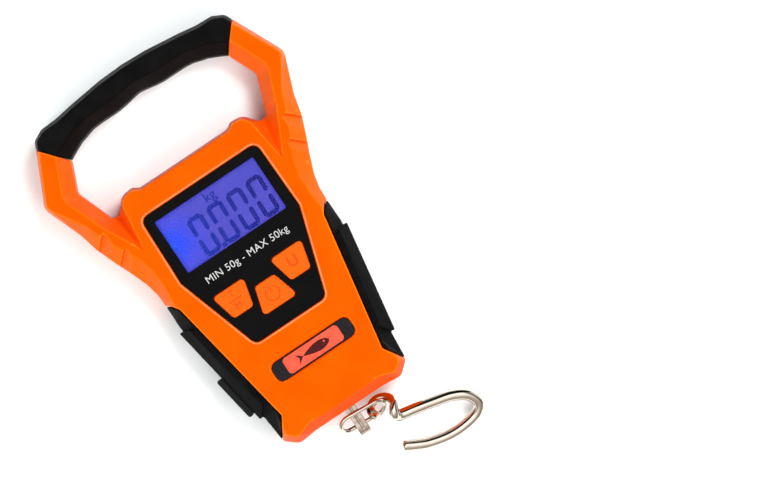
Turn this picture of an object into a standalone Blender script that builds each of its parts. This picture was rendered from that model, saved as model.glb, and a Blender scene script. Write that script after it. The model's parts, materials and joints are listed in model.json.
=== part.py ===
"""Digital fish scale with a diamond-shaped handle, a hook and a built-in measuring tape.

The scale lies on its back: +X to its right, +Y towards the handle, +Z out of the display.
The origin is on the back face, on the case's centreline, halfway along the case.
Lengths below are in millimetres and are turned into metres when a mesh is made.
"""

import math

import bmesh
import bpy
from mathutils import Matrix, Vector

MM = 0.001
GAP = 0.3                        # air between neighbouring pieces

# ---- driving dimensions ------------------------------------------------------------------------
DEPTH = 28.0                     # back face to front face
PARTING_Z = 14.0                 # where the two shells meet
WALL = 2.4                       # shell wall
LOAD_Z = 13.0                    # height of the line from handle to hook
HALF_TOP = 82.0                  # grip's crown
HALF_BOTTOM = 81.2               # bottom edge of the case
CAVITY_INSET = 4.2               # case outline to the hollow inside an arm
ARM_HOLLOW_Z = (5.5, 19.5)       # floor and roof of the hollow inside the arms
POCKET_FLOOR = 26.6              # floor of the display panel's pocket
FRONT_WALL_INNER = 24.6          # inner face of the wall behind that pocket

# Corners are (x, y, corner radius, front bevel width), right half, from the top centre down.
CASE_HALF = [
    (0, HALF_TOP, 0, 1.8),
    (11, 81.5, 0, 1.8),
    (26, 79.7, 0, 1.8),
    (33.5, 78.5, 0, 1.8),
    (40.5, 78.2, 2, 1.6),
    (45.2, 75.8, 2, 1.4),
    (56.9, 51, 4, 1.2),
    (50.6, 34.5, 0, 4.2),
    (48.6, 26, 0, 5.2),
    (44.4, 15.4, 0, 6.0),
    (42.2, 10.5, 0, 6.6),
    (39.6, 3.5, 0, 5.6),
    (38.4, -2, 0, 4.2),
    (38.2, -9, 0, 3.2),
    (38.3, -17.5, 0, 4.8),
    (30.3, -65, 0, 5.6),
    (29.2, -77.6, 3, 2.6),
    (24, -82, 3, 2.6),
    (16, -HALF_BOTTOM, 0, 4.2),
    (0, -HALF_BOTTOM, 0, 4.2),
]
OPENING_HALF = [
    (0, 69, 0, 4.6),
    (7, 68.2, 0, 4.6),
    (16, 67.6, 0, 4.8),
    (24, 67.1, 0, 4.8),
    (30, 65.7, 0, 5),
    (37.3, 62, 2, 5.2),
    (42.7, 49.5, 2.5, 5.4),
    (36.8, 33.4, 1.2, 4.6),
    (33.6, 32.8, 1.2, 1.6),
    (28.8, 38.6, 4.5, 1.2),
    (23.4, 39.3, 2.5, 1.2),
    (20.8, 37.5, 0, 1.2),
    (0, 37.5, 0, 1.2),
]
FRONT_BEVEL_DEPTH = 7.0          # down the outside, from the front face
OPENING_BEVEL_DEPTH = 9.0        # down the inside of the handle
REAR_BEVEL_DEPTH = 5.0
REAR_BEVEL_SHARE = 0.62          # rear bevels are this share of the front ones

# Display group
PANEL_TOP = 26.5
PANEL_BOTTOM = -39.5
PANEL_CORNERS = [(27.2, PANEL_TOP, 3), (27.9, -3.5, 1.5), (16.5, PANEL_BOTTOM, 3)]
PANEL_THICK = 0.9
PLATE_HALF = (18.3, 4.2)         # name plate
PLATE_CENTRE = (1.0, -53.9)
PLATE_RADIUS = 2.8
LCD_CENTRE_Y = 10.5
LCD_VIEW = (46.6, 24.0)
BUTTON_TRAVEL = 0.8
BUTTON_PROUD = 0.9               # a key's face above the case's front
KEY_FLANGE = 0.9                 # how far a key's flange spreads behind the front wall
KEY_FLANGE_THICK = 1.0
SIDE_BUTTON = [(6.2, -14.9), (21.1, -14.9), (18.2, -26.5), (9.0, -26.5)]
CENTRE_BUTTON = [(-4.6, -20.5), (4.6, -20.5), (8.0, -32.2), (-8.0, -32.2)]
BOARD_Z = (17.8, 19.4)

# Hook group
STRAP_GAP = 3.4                  # between the two legs of the strap
STRAP_THICK = 1.0
STRAP_HALF_WIDTH = 2.3
STRAP_END_Y = -93.4              # outermost point of the bow
PIN_Y = -63.2                    # pin that holds the strap to the load cell
LINK_WIRE = 2.0
LINK_CENTRE = Vector((2.4, -86.95, 15.2))
LINK_ALONG = Vector((20.5, -1.5, -4.7)).normalized()
LINK_TILT = math.radians(48)
LINK_HALF_WIDTH = 3.7
LINK_HALF_STRAIGHT = 6.3
EYE_CENTRE = Vector((10.9, -88.3, 14.0))
EYE_RADIUS = 4.75
EYE_YAW = math.radians(-12)
HOOK_TILT = math.radians(25)     # the hook leans from the link down to the ground
EYE_TWIST = math.radians(25)     # the eye is turned about the shank's direction, out of square
EYE_WIRE = 3.7
HOOK_WIRE = 4.8

# Tape group, in its own axes: +X into the case, +Y along the flank, +Z up
FLANK_TILT = math.atan2(38.3 - 30.3, 65 - 17.5)
REEL_CENTRE = Vector((-18.6, -53.5, 10.3))
COIL_RADIUS = 6.1
HUB_RADIUS = 2.0
TAPE_HALF_WIDTH = 4.8
TAB_ENDS = (-6.3, 13.1)          # along the flank, from the blade's centreline
TAB_Z = (1.9, 9.6)
TAPE_SLOT = ((-30, -6), (-5.6, 5.6), (5.9, 7.4))


# ---- scene and material helpers ----------------------------------------------------------------
def clear_scene():
    for item in list(bpy.data.objects):
        bpy.data.objects.remove(item, do_unlink=True)


def material(name, colour, roughness, metallic=0.0):
    made = bpy.data.materials.new(name)
    made.use_nodes = True
    shader = made.node_tree.nodes["Principled BSDF"]
    shader.inputs["Base Color"].default_value = (*colour, 1.0)
    shader.inputs["Roughness"].default_value = roughness
    shader.inputs["Metallic"].default_value = metallic
    return made


PALETTE = {
    "orange_plastic": ((0.95, 0.17, 0.01), 0.42, 0.0),
    "black_rubber": ((0.022, 0.022, 0.024), 0.75, 0.0),
    "black_gloss": ((0.01, 0.01, 0.012), 0.2, 0.0),
    "dark_plastic": ((0.02, 0.02, 0.022), 0.5, 0.0),
    "clear_plastic": ((0.8, 0.85, 0.9), 0.08, 0.0),
    "lcd_blue": ((0.1, 0.11, 0.75), 0.25, 0.0),
    "white_plastic": ((0.8, 0.8, 0.78), 0.45, 0.0),
    "circuit_board": ((0.02, 0.17, 0.06), 0.4, 0.0),
    "bright_steel": ((0.75, 0.73, 0.7), 0.15, 1.0),
    "spring_steel": ((0.5, 0.5, 0.5), 0.3, 1.0),
    "aluminium": ((0.72, 0.73, 0.75), 0.35, 1.0),
    "screw_steel": ((0.35, 0.35, 0.37), 0.35, 1.0),
    "cell_wrap": ((0.06, 0.1, 0.12), 0.35, 0.0),
    "tape_yellow": ((0.85, 0.62, 0.04), 0.35, 0.0),
}
MATERIALS = {}


def add_object(name, bm, palette_name, cutter=False):
    """Turns a bmesh in millimetres into an object in metres."""
    bmesh.ops.scale(bm, vec=(MM, MM, MM), verts=bm.verts)
    bmesh.ops.recalc_face_normals(bm, faces=bm.faces)
    mesh = bpy.data.meshes.new(name)
    bm.to_mesh(mesh)
    bm.free()
    made = bpy.data.objects.new(name, mesh)
    bpy.context.scene.collection.objects.link(made)
    if cutter:
        made.hide_render = True
        made.display_type = "WIRE"
        return made
    if palette_name not in MATERIALS:
        MATERIALS[palette_name] = material(palette_name, *PALETTE[palette_name])
    mesh.materials.append(MATERIALS[palette_name])
    return made


def smooth(made, angle=35):
    made.data.shade_smooth()
    made.data.set_sharp_from_angle(angle=math.radians(angle))
    return made


def boolean(target, other, operation="DIFFERENCE"):
    modifier = target.modifiers.new(operation.lower(), "BOOLEAN")
    modifier.operation = operation
    modifier.solver = "EXACT"
    modifier.object = other
    return target


def cut_all(target, cutters):
    for cutter in cutters:
        boolean(target, cutter)
    return target


def pivot_at(made, point):
    """Puts a moving piece's origin on its joint's axis, and leaves the piece where it is."""
    place = Vector(point) * MM
    made.data.transform(Matrix.Translation(-place))
    made.location = place
    return made


# ---- outlines ----------------------------------------------------------------------------------
def mirrored(half):
    """A closed clockwise outline from its right half, listed from the top centre down."""
    left = [(-corner[0], *corner[1:]) for corner in reversed(half) if corner[0] > 0]
    return half + left


def rounded(corners, steps=3):
    """Points of a closed outline whose corners are (x, y, radius, ...); extra values are kept."""
    points = []
    for index, corner in enumerate(corners):
        radius = corner[2]
        here = Vector(corner[:2])
        if radius == 0:
            points.append((here.x, here.y, *corner[3:]))
            continue
        back = (Vector(corners[index - 1][:2]) - here).normalized()
        ahead = (Vector(corners[(index + 1) % len(corners)][:2]) - here).normalized()
        half_angle = back.angle(ahead) / 2
        centre = here + (back + ahead).normalized() * radius / math.sin(half_angle)
        start = here + back * radius / math.tan(half_angle) - centre
        end = here + ahead * radius / math.tan(half_angle) - centre
        turn = start.angle_signed(end)
        for step in range(steps + 1):
            spoke = Matrix.Rotation(-turn * step / steps, 2) @ start
            points.append((centre.x + spoke.x, centre.y + spoke.y, *corner[3:]))
    return points


def offset(points, distance, sides=None):
    """Moves each point of a clockwise outline inwards by distance, or by its own share of it."""
    moved = []
    for index, point in enumerate(points):
        here = Vector(point[:2])
        before = (here - Vector(points[index - 1][:2])).normalized()
        after = (Vector(points[(index + 1) % len(points)][:2]) - here).normalized()
        in_before = Vector((before.y, -before.x))
        in_after = Vector((after.y, -after.x))
        mitre = (in_before + in_after) / (1 + in_before.dot(in_after))
        amount = distance if sides is None else distance * sides[index]
        moved.append(tuple(here + mitre * amount))
    return moved


def box_outline(x_low, x_high, y_low, y_high, radius=0.0):
    corners = [
        (x_high, y_high, radius),
        (x_high, y_low, radius),
        (x_low, y_low, radius),
        (x_low, y_high, radius),
    ]
    return rounded(corners)


CASE = rounded(mirrored(CASE_HALF))
OPENING = rounded(mirrored(OPENING_HALF))


# ---- solids ------------------------------------------------------------------------------------
def wall(bm, rings):
    """Joins each ring of points to the next with four-sided faces."""
    for lower, upper in zip(rings, rings[1:]):
        for side in range(len(lower)):
            after = (side + 1) % len(lower)
            bm.faces.new((lower[side], lower[after], upper[after], upper[side]))


def loft(bm, loops):
    """Walls between outlines that have the same number of points; returns the end rings."""
    rings = [[bm.verts.new((x, y, z)) for x, y in points] for points, z in loops]
    wall(bm, rings)
    return rings[0], rings[-1]


def ring_edges(bm, ring):
    return [bm.edges.get((ring[i - 1], ring[i])) for i in range(len(ring))]


def lofted_solid(loops):
    bm = bmesh.new()
    bottom, top = loft(bm, loops)
    bm.faces.new(bottom)
    bm.faces.new(top)
    return bm


def prism(name, points, z_low, z_high, palette_name="", cutter=False, chamfer=0.0):
    """An extruded outline, with an optional chamfer round its upper edge."""
    flat = [point[:2] for point in points]
    loops = [(flat, z_low), (flat, z_high)]
    if chamfer:
        loops = [(flat, z_low), (flat, z_high - chamfer), (offset(flat, chamfer), z_high)]
    return add_object(name, lofted_solid(loops), palette_name, cutter)


def block(name, x, y, z, palette_name="", cutter=False, radius=0.0):
    return prism(name, box_outline(*x, *y, radius), *z, palette_name, cutter)


def plate_with_hole(name, outer_loops, hole_loops, palette_name="", cutter=False):
    """A solid between an outer wall and a hole's wall, closed at both ends."""
    bm = bmesh.new()
    outer_ends = loft(bm, outer_loops)
    hole_ends = loft(bm, hole_loops)
    for outer_ring, hole_ring in zip(outer_ends, hole_ends):
        edges = ring_edges(bm, outer_ring) + ring_edges(bm, hole_ring)
        bmesh.ops.triangle_fill(bm, use_beauty=True, edges=edges)
    return add_object(name, bm, palette_name, cutter)


def cylinder(name, centre, axis, length, radius, palette_name="", cutter=False, sides=20, top=None):
    """A round bar or cone from centre along axis, with flat ends."""
    bm = bmesh.new()
    end_radius = radius if top is None else top
    bmesh.ops.create_cone(
        bm, cap_ends=True, segments=sides, radius1=radius, radius2=end_radius, depth=length
    )
    turn = Vector((0, 0, 1)).rotation_difference(Vector(axis)).to_matrix().to_4x4()
    middle = Vector(centre) + Vector(axis).normalized() * length / 2
    bmesh.ops.transform(bm, matrix=Matrix.Translation(middle) @ turn, verts=bm.verts)
    made = add_object(name, bm, palette_name, cutter)
    return made if cutter else smooth(made)


def turned(name, profile, centre, axis, palette_name, sides=24, hollow=False):
    """A round piece from (radius, height) pairs along axis; a hollow one's profile closes on itself."""
    bm = bmesh.new()
    rings = []
    for radius, height in profile:
        ring = []
        for side in range(sides):
            angle = 2 * math.pi * side / sides
            ring.append(bm.verts.new((radius * math.cos(angle), radius * math.sin(angle), height)))
        rings.append(ring)
    if hollow:
        wall(bm, rings + rings[:1])
    else:
        wall(bm, rings)
        bm.faces.new(rings[0])
        bm.faces.new(rings[-1])
    turn = Vector((0, 0, 1)).rotation_difference(Vector(axis)).to_matrix().to_4x4()
    bmesh.ops.transform(bm, matrix=Matrix.Translation(Vector(centre)) @ turn, verts=bm.verts)
    return smooth(add_object(name, bm, palette_name))


def tube(name, path, radii, palette_name, sides=10, closed=False):
    """A wire along path; its ring of points is carried from one station to the next untwisted."""
    bm = bmesh.new()
    count = len(path)
    rings = []
    normal = None
    for index, point in enumerate(path):
        before = path[index - 1] if closed or index else path[0]
        after = path[(index + 1) % count] if closed or index < count - 1 else path[-1]
        tangent = (after - before).normalized()
        if normal is None:
            normal = tangent.orthogonal().normalized()
        normal = (normal - tangent * normal.dot(tangent)).normalized()
        binormal = tangent.cross(normal)
        ring = []
        for side in range(sides):
            angle = 2 * math.pi * side / sides
            spoke = normal * math.cos(angle) + binormal * math.sin(angle)
            ring.append(bm.verts.new(point + spoke * radii[index]))
        rings.append(ring)
    wall(bm, rings)
    if closed:
        bridge = [e for ring in (rings[-1], rings[0]) for e in ring_edges(bm, ring)]
        bmesh.ops.bridge_loops(bm, edges=bridge)
    else:
        bm.faces.new(rings[0])
        bm.faces.new(rings[-1])
    return smooth(add_object(name, bm, palette_name), 60)


def smooth_path(points, per_span):
    """A Catmull-Rom curve through points."""
    path = []
    for index in range(len(points) - 1):
        p0 = points[max(index - 1, 0)]
        p1 = points[index]
        p2 = points[index + 1]
        p3 = points[min(index + 2, len(points) - 1)]
        for step in range(per_span):
            t = step / per_span
            path.append(
                0.5 * (2 * p1 + (p2 - p0) * t
                       + (2 * p0 - 5 * p1 + 4 * p2 - p3) * t ** 2
                       + (3 * p1 - p0 - 3 * p2 + p3) * t ** 3)
            )
    path.append(points[-1])
    return path


def hull(name, points):
    bm = bmesh.new()
    for point in points:
        bm.verts.new(point)
    bmesh.ops.convex_hull(bm, input=bm.verts)
    return add_object(name, bm, "", cutter=True)


# ---- case --------------------------------------------------------------------------------------
CASE_WIDTHS = [point[2] for point in CASE]
OPENING_WIDTHS = [-point[2] for point in OPENING]


def envelope(name, front, palette_name):
    """One half of the case before it is hollowed, with its bevelled rim."""
    share = 1.0 if front else REAR_BEVEL_SHARE
    outer_bevelled = offset(CASE, share, CASE_WIDTHS)
    opening_bevelled = offset(OPENING, share, OPENING_WIDTHS)
    case_flat = [point[:2] for point in CASE]
    opening_flat = [point[:2] for point in OPENING]
    if front:
        outer = [(case_flat, PARTING_Z + GAP / 2), (case_flat, DEPTH - FRONT_BEVEL_DEPTH),
                 (outer_bevelled, DEPTH)]
        opening = [(opening_flat, PARTING_Z + GAP / 2), (opening_flat, DEPTH - OPENING_BEVEL_DEPTH),
                   (opening_bevelled, DEPTH)]
    else:
        outer = [(outer_bevelled, 0), (case_flat, REAR_BEVEL_DEPTH), (case_flat, PARTING_Z - GAP / 2)]
        opening = [(opening_bevelled, 0), (opening_flat, REAR_BEVEL_DEPTH),
                   (opening_flat, PARTING_Z - GAP / 2)]
    return plate_with_hole(name, outer, opening, palette_name)


# Zones that rubber covers: the grip between its two joints, and each flank.
GRIP_ZONE = mirrored([(0, 90), (60, 90), (60, 86), (47.2, 73.4), (37.2, 61.6), (33, 57), (0, 57)])
FLANK_ZONE = [(48, -7.6), (48, -77.4), (29.6, -77.4), (24.2, -68.6), (34.4, -11.8), (36.6, -8.8),
              (38.6, -7.6)]
GRIP_CORE = mirrored([(0, 78.6), (26, 76.3), (44, 74.6), (60, 60), (50, 54), (43.2, 63.2),
                      (33, 70.6), (24, 71.8), (0, 73)])
FLANK_CORE = [(20, -5), (35.9, -5), (36.1, -17.5), (28.2, -65), (27.1, -82), (20, -82)]
GRIP_CORE_Z = (6.5, 21.5)
GRIP_CORE_START = 57.5           # the handle is solid from here up
FLANK_CORE_Z = (4.0, 22.8)


def flip(points):
    return [(-point[0], point[1]) for point in reversed(points)]


def zone_cutter(name, zone, core, core_z, grow):
    """The room that a cover needs: its zone, grown by the gap, round the core it is moulded on."""
    grown = offset(zone, -grow)
    shrunk = offset(core, grow - GAP)
    cutter = prism(name, grown, -5, DEPTH + 5, cutter=True)
    solid_core = prism(name + "_core", shrunk, core_z[0] + GAP - grow, core_z[1] - GAP + grow,
                       cutter=True)
    return boolean(cutter, solid_core)


NOTCH_SPOTS = [(48.4, 25.4), (44.6, 15.8)]
NOTCH_RUN = 5.2                  # down the arm, from a step to where its ramp ends
NOTCH_DEEP = 1.9
NOTCH_LEAN = 2.4                 # how far a step climbs from the arm's edge to its ridge
NOTCH_BEVEL = 5.6                # the arm's bevel width there
NOTCH_ACROSS = (-2.0, 10.0)      # from below the bevel's outer edge to past its inner one


def notches(name, side):
    """Saw-tooth steps down the outer bevel of an arm."""
    down = (Vector((*NOTCH_SPOTS[1], 0)) - Vector((*NOTCH_SPOTS[0], 0))).normalized()
    out = Vector((-down.y, down.x, 0))
    rise = Vector((0, 0, 1))
    up_slope = (rise * FRONT_BEVEL_DEPTH - out * NOTCH_BEVEL).normalized()
    normal = (rise * NOTCH_BEVEL + out * FRONT_BEVEL_DEPTH).normalized()
    made = []
    for index, (x, y) in enumerate(NOTCH_SPOTS):
        edge = Vector((x, y, DEPTH - FRONT_BEVEL_DEPTH))
        points = []
        for across in NOTCH_ACROSS:
            step = edge + up_slope * across - down * NOTCH_LEAN * across / NOTCH_ACROSS[1]
            ramp_end = step + down * NOTCH_RUN
            points += [step - normal * NOTCH_DEEP, step + normal * 3, ramp_end, ramp_end + normal * 3]
        made.append(hull(f"{name}_{index}", [(side * p.x, p.y, p.z) for p in points]))
    return made


def valley(name, side):
    """The wedge-shaped valley between an arm and the body, on the front."""
    top, floor = DEPTH + 0.5, DEPTH - 12
    open_y, tip_y = 36, 14.5
    points = [(43.6, open_y, top), (30.0, open_y, top), (32.8, tip_y, top), (36.2, open_y, floor),
              (34.0, open_y, floor)]
    return hull(name, [(side * x, y, z) for x, y, z in points])


SCREW_SPOTS = [(49.3, 52.5), (33.6, 12.0), (23.4, -73.4)]
SCREW_NAMES = ["arm", "upper", "lower"]


def screw_places():
    """Name, side and place of each case screw."""
    for spot, label in zip(SCREW_SPOTS, SCREW_NAMES):
        for side, side_name in ((-1, "left"), (1, "right")):
            yield f"case_screw_{label}_{side_name}", side * spot[0], spot[1]


BODY_CAVITY = mirrored([(0, 33.6), (26.5, 33.6), (28.6, 20), (30.0, 2), (33.6, -9), (33.4, -17.5),
                        (25.4, -62.5), (17.2, -76.2), (0, -76.2)])
SEAL_OUT = 0.8
SEAL_IN = 0.5


def panel_outline(grow=0.0):
    """The display panel's outline, grown all round."""
    half = [(0, PANEL_TOP, 0)] + PANEL_CORNERS + [(0, PANEL_BOTTOM, 0)]
    return offset(rounded(mirrored(half)), -grow)


def plate_outline(grow=0.0):
    """The name plate's outline, grown all round."""
    x, y = PLATE_HALF[0] + grow, PLATE_HALF[1] + grow
    middle_x, middle_y = PLATE_CENTRE
    return box_outline(middle_x - x, middle_x + x, middle_y - y, middle_y + y, PLATE_RADIUS)


def button_outline(corners, grow, radius=1.5):
    return offset(rounded([(x, y, radius) for x, y in corners]), -grow)


BUTTONS = {
    "tare_button": [(-x, y) for x, y in reversed(SIDE_BUTTON)],
    "power_button": CENTRE_BUTTON,
    "unit_button": SIDE_BUTTON,
}


def rotated_block(name, x, y, z, palette_name="", cutter=False, radius=0.0):
    """A block in the tape group's own axes."""
    bm = lofted_solid([(box_outline(*x, *y, radius), z[0]), (box_outline(*x, *y, radius), z[1])])
    bmesh.ops.transform(bm, matrix=tape_axes(), verts=bm.verts)
    return add_object(name, bm, palette_name, cutter)


def tape_axes():
    """From the tape group's own axes to the case's: the reel's axle runs along the left flank."""
    return Matrix.Translation(REEL_CENTRE) @ Matrix.Rotation(FLANK_TILT, 4, "Z")


def in_tape_axes(x, y, z):
    return tape_axes() @ Vector((x, y, z))


def front_shell():
    shell = envelope("front_shell", True, "orange_plastic")
    ring_outer = offset(mirrored(CASE_HALF), CAVITY_INSET)
    ring_inner = offset(mirrored(OPENING_HALF), -CAVITY_INSET)
    low, high = PARTING_Z - 2, ARM_HOLLOW_Z[1]
    arm_hollow = plate_with_hole("arm_hollow_front", [(ring_outer, low), (ring_outer, high)],
                                 [(ring_inner, low), (ring_inner, high)], cutter=True)
    posts = [cylinder(f"post_front_{name}", (x, y, PARTING_Z - 4), (0, 0, 1), 14, 3.2, cutter=True)
             for name, x, y in screw_places()]
    body_hollow = prism("body_hollow_front", BODY_CAVITY, PARTING_Z - 2, FRONT_WALL_INNER, cutter=True)
    posts.append(block("grip_core_front", (-60, 60), (GRIP_CORE_START, 90), (0, 30), cutter=True))
    hollow = cut_all(boolean(arm_hollow, body_hollow, "UNION"), posts)
    cutters = [
        hollow,
        zone_cutter("grip_zone_front", GRIP_ZONE, GRIP_CORE, GRIP_CORE_Z, GAP),
        zone_cutter("right_zone_front", FLANK_ZONE, FLANK_CORE, FLANK_CORE_Z, GAP),
        zone_cutter("left_zone_front", flip(FLANK_ZONE), flip(FLANK_CORE), FLANK_CORE_Z, GAP),
        valley("valley_left", -1),
        valley("valley_right", 1),
        prism("panel_pocket", panel_outline(GAP), POCKET_FLOOR, DEPTH + 1, cutter=True),
        block("lcd_hole", (-25.5, 25.5), (LCD_CENTRE_Y - 14.5, LCD_CENTRE_Y + 14.5), (20, 30), cutter=True),
        prism("seal_step_front", offset(BODY_CAVITY, -SEAL_OUT - GAP), PARTING_Z - 1,
              PARTING_Z + 0.7, cutter=True),
        block("bush_hole_front", (-5, 5), (-90, -70), (8, 18), cutter=True),
        prism("plate_pocket", plate_outline(GAP), DEPTH - 0.9, DEPTH + 1, cutter=True),
        prism("foot_step", [(-13.5, -73.6), (13.5, -73.6), (17.5, -86), (-17.5, -86)], DEPTH - 0.5,
              DEPTH + 1, cutter=True),
        rotated_block("tape_slot_front", *TAPE_SLOT, cutter=True),
    ]
    cutters += notches("notch_left", -1) + notches("notch_right", 1)
    cutters += [prism(f"{name}_hole", button_outline(corners, GAP), 20, 30, cutter=True)
                for name, corners in BUTTONS.items()]
    cutters += [cylinder(f"thread_{name}", (x, y, 10), (0, 0, 1), 10, 1.6, cutter=True, sides=12)
                for name, x, y in screw_places()]
    return cut_all(shell, cutters)


BAY_OUTER_Y = (-30.5, 33.0)
BAY_HALF_WIDTH = 16.6
BAY_INNER = ((-12.6, 12.6), (-19.4, 31.0))
BAY_ROOF = 14.4
DOOR_Y = (-28.8, 32.2)
DOOR_HALF_WIDTH = 14.9
DOOR_THICK = 1.6
DOOR_LEDGE = 2.6
DOOR_SCREW = (0, -24.6)


def rear_shell():
    shell = envelope("rear_shell", False, "orange_plastic")
    ring_outer = offset(mirrored(CASE_HALF), CAVITY_INSET)
    ring_inner = offset(mirrored(OPENING_HALF), -CAVITY_INSET)
    low, high = ARM_HOLLOW_Z[0], PARTING_Z + 2
    arm_hollow = plate_with_hole("arm_hollow_rear", [(ring_outer, low), (ring_outer, high)],
                                 [(ring_inner, low), (ring_inner, high)], cutter=True)
    posts = [cylinder(f"post_rear_{name}", (x, y, -1), (0, 0, 1), 18, 3.4, cutter=True)
             for name, x, y in screw_places()]
    body_hollow = prism("body_hollow_rear", BODY_CAVITY, WALL, PARTING_Z + 2, cutter=True)
    posts.append(block("grip_core_rear", (-60, 60), (GRIP_CORE_START, 90), (0, 30), cutter=True))
    hollow = cut_all(boolean(arm_hollow, body_hollow, "UNION"), posts)
    boolean(hollow, block("bay_wall", (-BAY_HALF_WIDTH, BAY_HALF_WIDTH), BAY_OUTER_Y, (-1, 17),
                          cutter=True))
    for side in (-1, 1):
        boolean(hollow, block(f"bracket_boss_{side}", sorted((side * 14.5, side * 23.5)), (-44.3, -36.5),
                              (-1, 7.7), cutter=True))
        lug_y = (6.6, 8.1) if side > 0 else (-10.3, -8.8)
        boolean(hollow, rotated_block(f"axle_lug_{side}", (-3.5, 3.5), lug_y, (-11, 2.5), cutter=True))
    cutters = [
        hollow,
        zone_cutter("grip_zone_rear", GRIP_ZONE, GRIP_CORE, GRIP_CORE_Z, GAP),
        zone_cutter("right_zone_rear", FLANK_ZONE, FLANK_CORE, FLANK_CORE_Z, GAP),
        zone_cutter("left_zone_rear", flip(FLANK_ZONE), flip(FLANK_CORE), FLANK_CORE_Z, GAP),
        prism("seal_step_rear", offset(BODY_CAVITY, -SEAL_OUT - GAP), PARTING_Z - 0.7,
              PARTING_Z + 1, cutter=True),
        block("bush_hole_rear", (-5, 5), (-90, -70), (8, 18), cutter=True),
        prism("bay", box_outline(*BAY_INNER[0], *BAY_INNER[1], 0.8), -1, BAY_ROOF - 2, cutter=True),
        prism("door_recess", box_outline(-DOOR_HALF_WIDTH - GAP, DOOR_HALF_WIDTH + GAP,
                                         DOOR_Y[0] - GAP, DOOR_Y[1] + GAP, 2.3), -1, DOOR_LEDGE,
              cutter=True),
        cylinder("door_thread", (*DOOR_SCREW, 1), (0, 0, 1), 9, 1.55, cutter=True, sides=12),
        cylinder("axle_bore", in_tape_axes(0, -10.1, 0), tape_axes().to_3x3() @ Vector((0, 1, 0)),
                 18.0, 1.35, cutter=True, sides=12),
    ]
    for side in (-1, 1):
        cutters.append(cylinder(f"bracket_thread_{side}", (side * 19, BRACKET_SCREW_Y, 2), (0, 0, 1), 8, 1.5,
                                cutter=True, sides=12))
    for name, x, y in screw_places():
        cutters.append(cylinder(f"{name}_head_room", (x, y, -1), (0, 0, 1), 3.6, 2.9, cutter=True,
                                sides=16))
        cutters.append(cylinder(f"{name}_shank_room", (x, y, -1), (0, 0, 1), 20, 1.7, cutter=True,
                                sides=12))
    return cut_all(shell, cutters)


def grip_half(name, front):
    """One half of the grip: the handle's own shape, cut to the grip zone and hollow for the core."""
    grip = envelope(name, front, "black_rubber")
    inside = prism(f"{name}_zone", GRIP_ZONE, -5, DEPTH + 5, cutter=True)
    boolean(grip, inside, "INTERSECT")
    core = prism(f"{name}_core", offset(GRIP_CORE, -GAP), GRIP_CORE_Z[0] - GAP,
                 GRIP_CORE_Z[1] + GAP, cutter=True)
    return boolean(grip, core)


RIDGE_PROUD = 1.8
RIDGE_ZONE = [(43, -18.6, 0), (35.2, -66.5, 0), (30.6, -65.0, 1.0), (27.3, -60.8, 2.0),
              (33.3, -22.2, 2.0), (35.4, -20.3, 1.2)]


def flank_solid(name, proud, zone, z, cutter=False):
    """The case's flank, grown sideways and cut to a zone."""
    case_flat = [point[:2] for point in CASE]
    front_flat = offset(CASE, 1, CASE_WIDTHS)
    rear_flat = offset(CASE, REAR_BEVEL_SHARE, CASE_WIDTHS)
    loops = [(rear_flat, 0.0), (case_flat, REAR_BEVEL_DEPTH), (case_flat, DEPTH - FRONT_BEVEL_DEPTH),
             (front_flat, DEPTH)]
    if proud:
        loops = [([point[:2] for point in offset(loop, -proud)], z) for loop, z in loops]
    flank = add_object(name, lofted_solid(loops), "" if cutter else "black_rubber", cutter)
    return boolean(flank, prism(f"{name}_zone", zone, *z, cutter=True), "INTERSECT")


def flank_pad(name, side):
    """A rubber pad that wraps one flank, with a broad raised ridge along it."""
    mirror = (lambda points: points) if side > 0 else flip
    pad = flank_solid(name, 0, mirror(FLANK_ZONE), (-5, DEPTH + 5))
    ridge = flank_solid(f"{name}_ridge", RIDGE_PROUD, mirror(rounded(RIDGE_ZONE)), (6.0, DEPTH - 1.0), True)
    boolean(pad, ridge, "UNION")
    core = offset(FLANK_CORE, -GAP)
    boolean(pad, prism(f"{name}_core", mirror(core), FLANK_CORE_Z[0] - GAP, FLANK_CORE_Z[1] + GAP,
                       cutter=True))
    if side < 0:
        boolean(pad, rotated_block("pad_tape_slot", *TAPE_SLOT, cutter=True))
        boolean(pad, rotated_block("pad_tab_pocket", (-30, -15.0), (TAB_ENDS[0] - GAP, TAB_ENDS[1] + GAP),
                                   (TAB_Z[0] - GAP, TAB_Z[1] + GAP), cutter=True))
    return pad


def case_seal():
    outer = [point[:2] for point in offset(BODY_CAVITY, -SEAL_OUT)]
    inner = [point[:2] for point in offset(BODY_CAVITY, SEAL_IN)]
    low, high = PARTING_Z - 0.4, PARTING_Z + 0.4
    seal = plate_with_hole("case_seal", [(outer, low), (outer, high)], [(inner, low), (inner, high)],
                           "black_rubber")
    return boolean(seal, block("seal_strap_room", (-5.3, 5.3), (-85, -70), (8, 18), cutter=True))


def pan_screw(name, x, y, z, shank_radius, shank_length, head_radius, head_height, upward=True):
    """A cross-slot screw; z is where its head starts, and the shank runs on from the head."""
    direction = 1 if upward else -1
    end = head_height + shank_length
    profile = [(head_radius * 0.72, 0), (head_radius, head_height * 0.35), (head_radius, head_height),
               (shank_radius, head_height), (shank_radius, end - shank_radius), (shank_radius * 0.4, end)]
    screw = turned(name, profile, (x, y, z), (0, 0, direction), "screw_steel", sides=14)
    long_half, short_half = head_radius * 0.62, 0.35
    slot_z = sorted((z - direction, z + direction * head_height * 0.6))
    for label, half_x, half_y in (("a", long_half, short_half), ("b", short_half, long_half)):
        boolean(screw, block(f"{name}_slot_{label}", (x - half_x, x + half_x), (y - half_y, y + half_y),
                             slot_z, cutter=True))
    return screw


def case_screws():
    for name, x, y in screw_places():
        pan_screw(name, x, y, 0.5, 1.3, 15.5, 2.5, 1.7)


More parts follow.
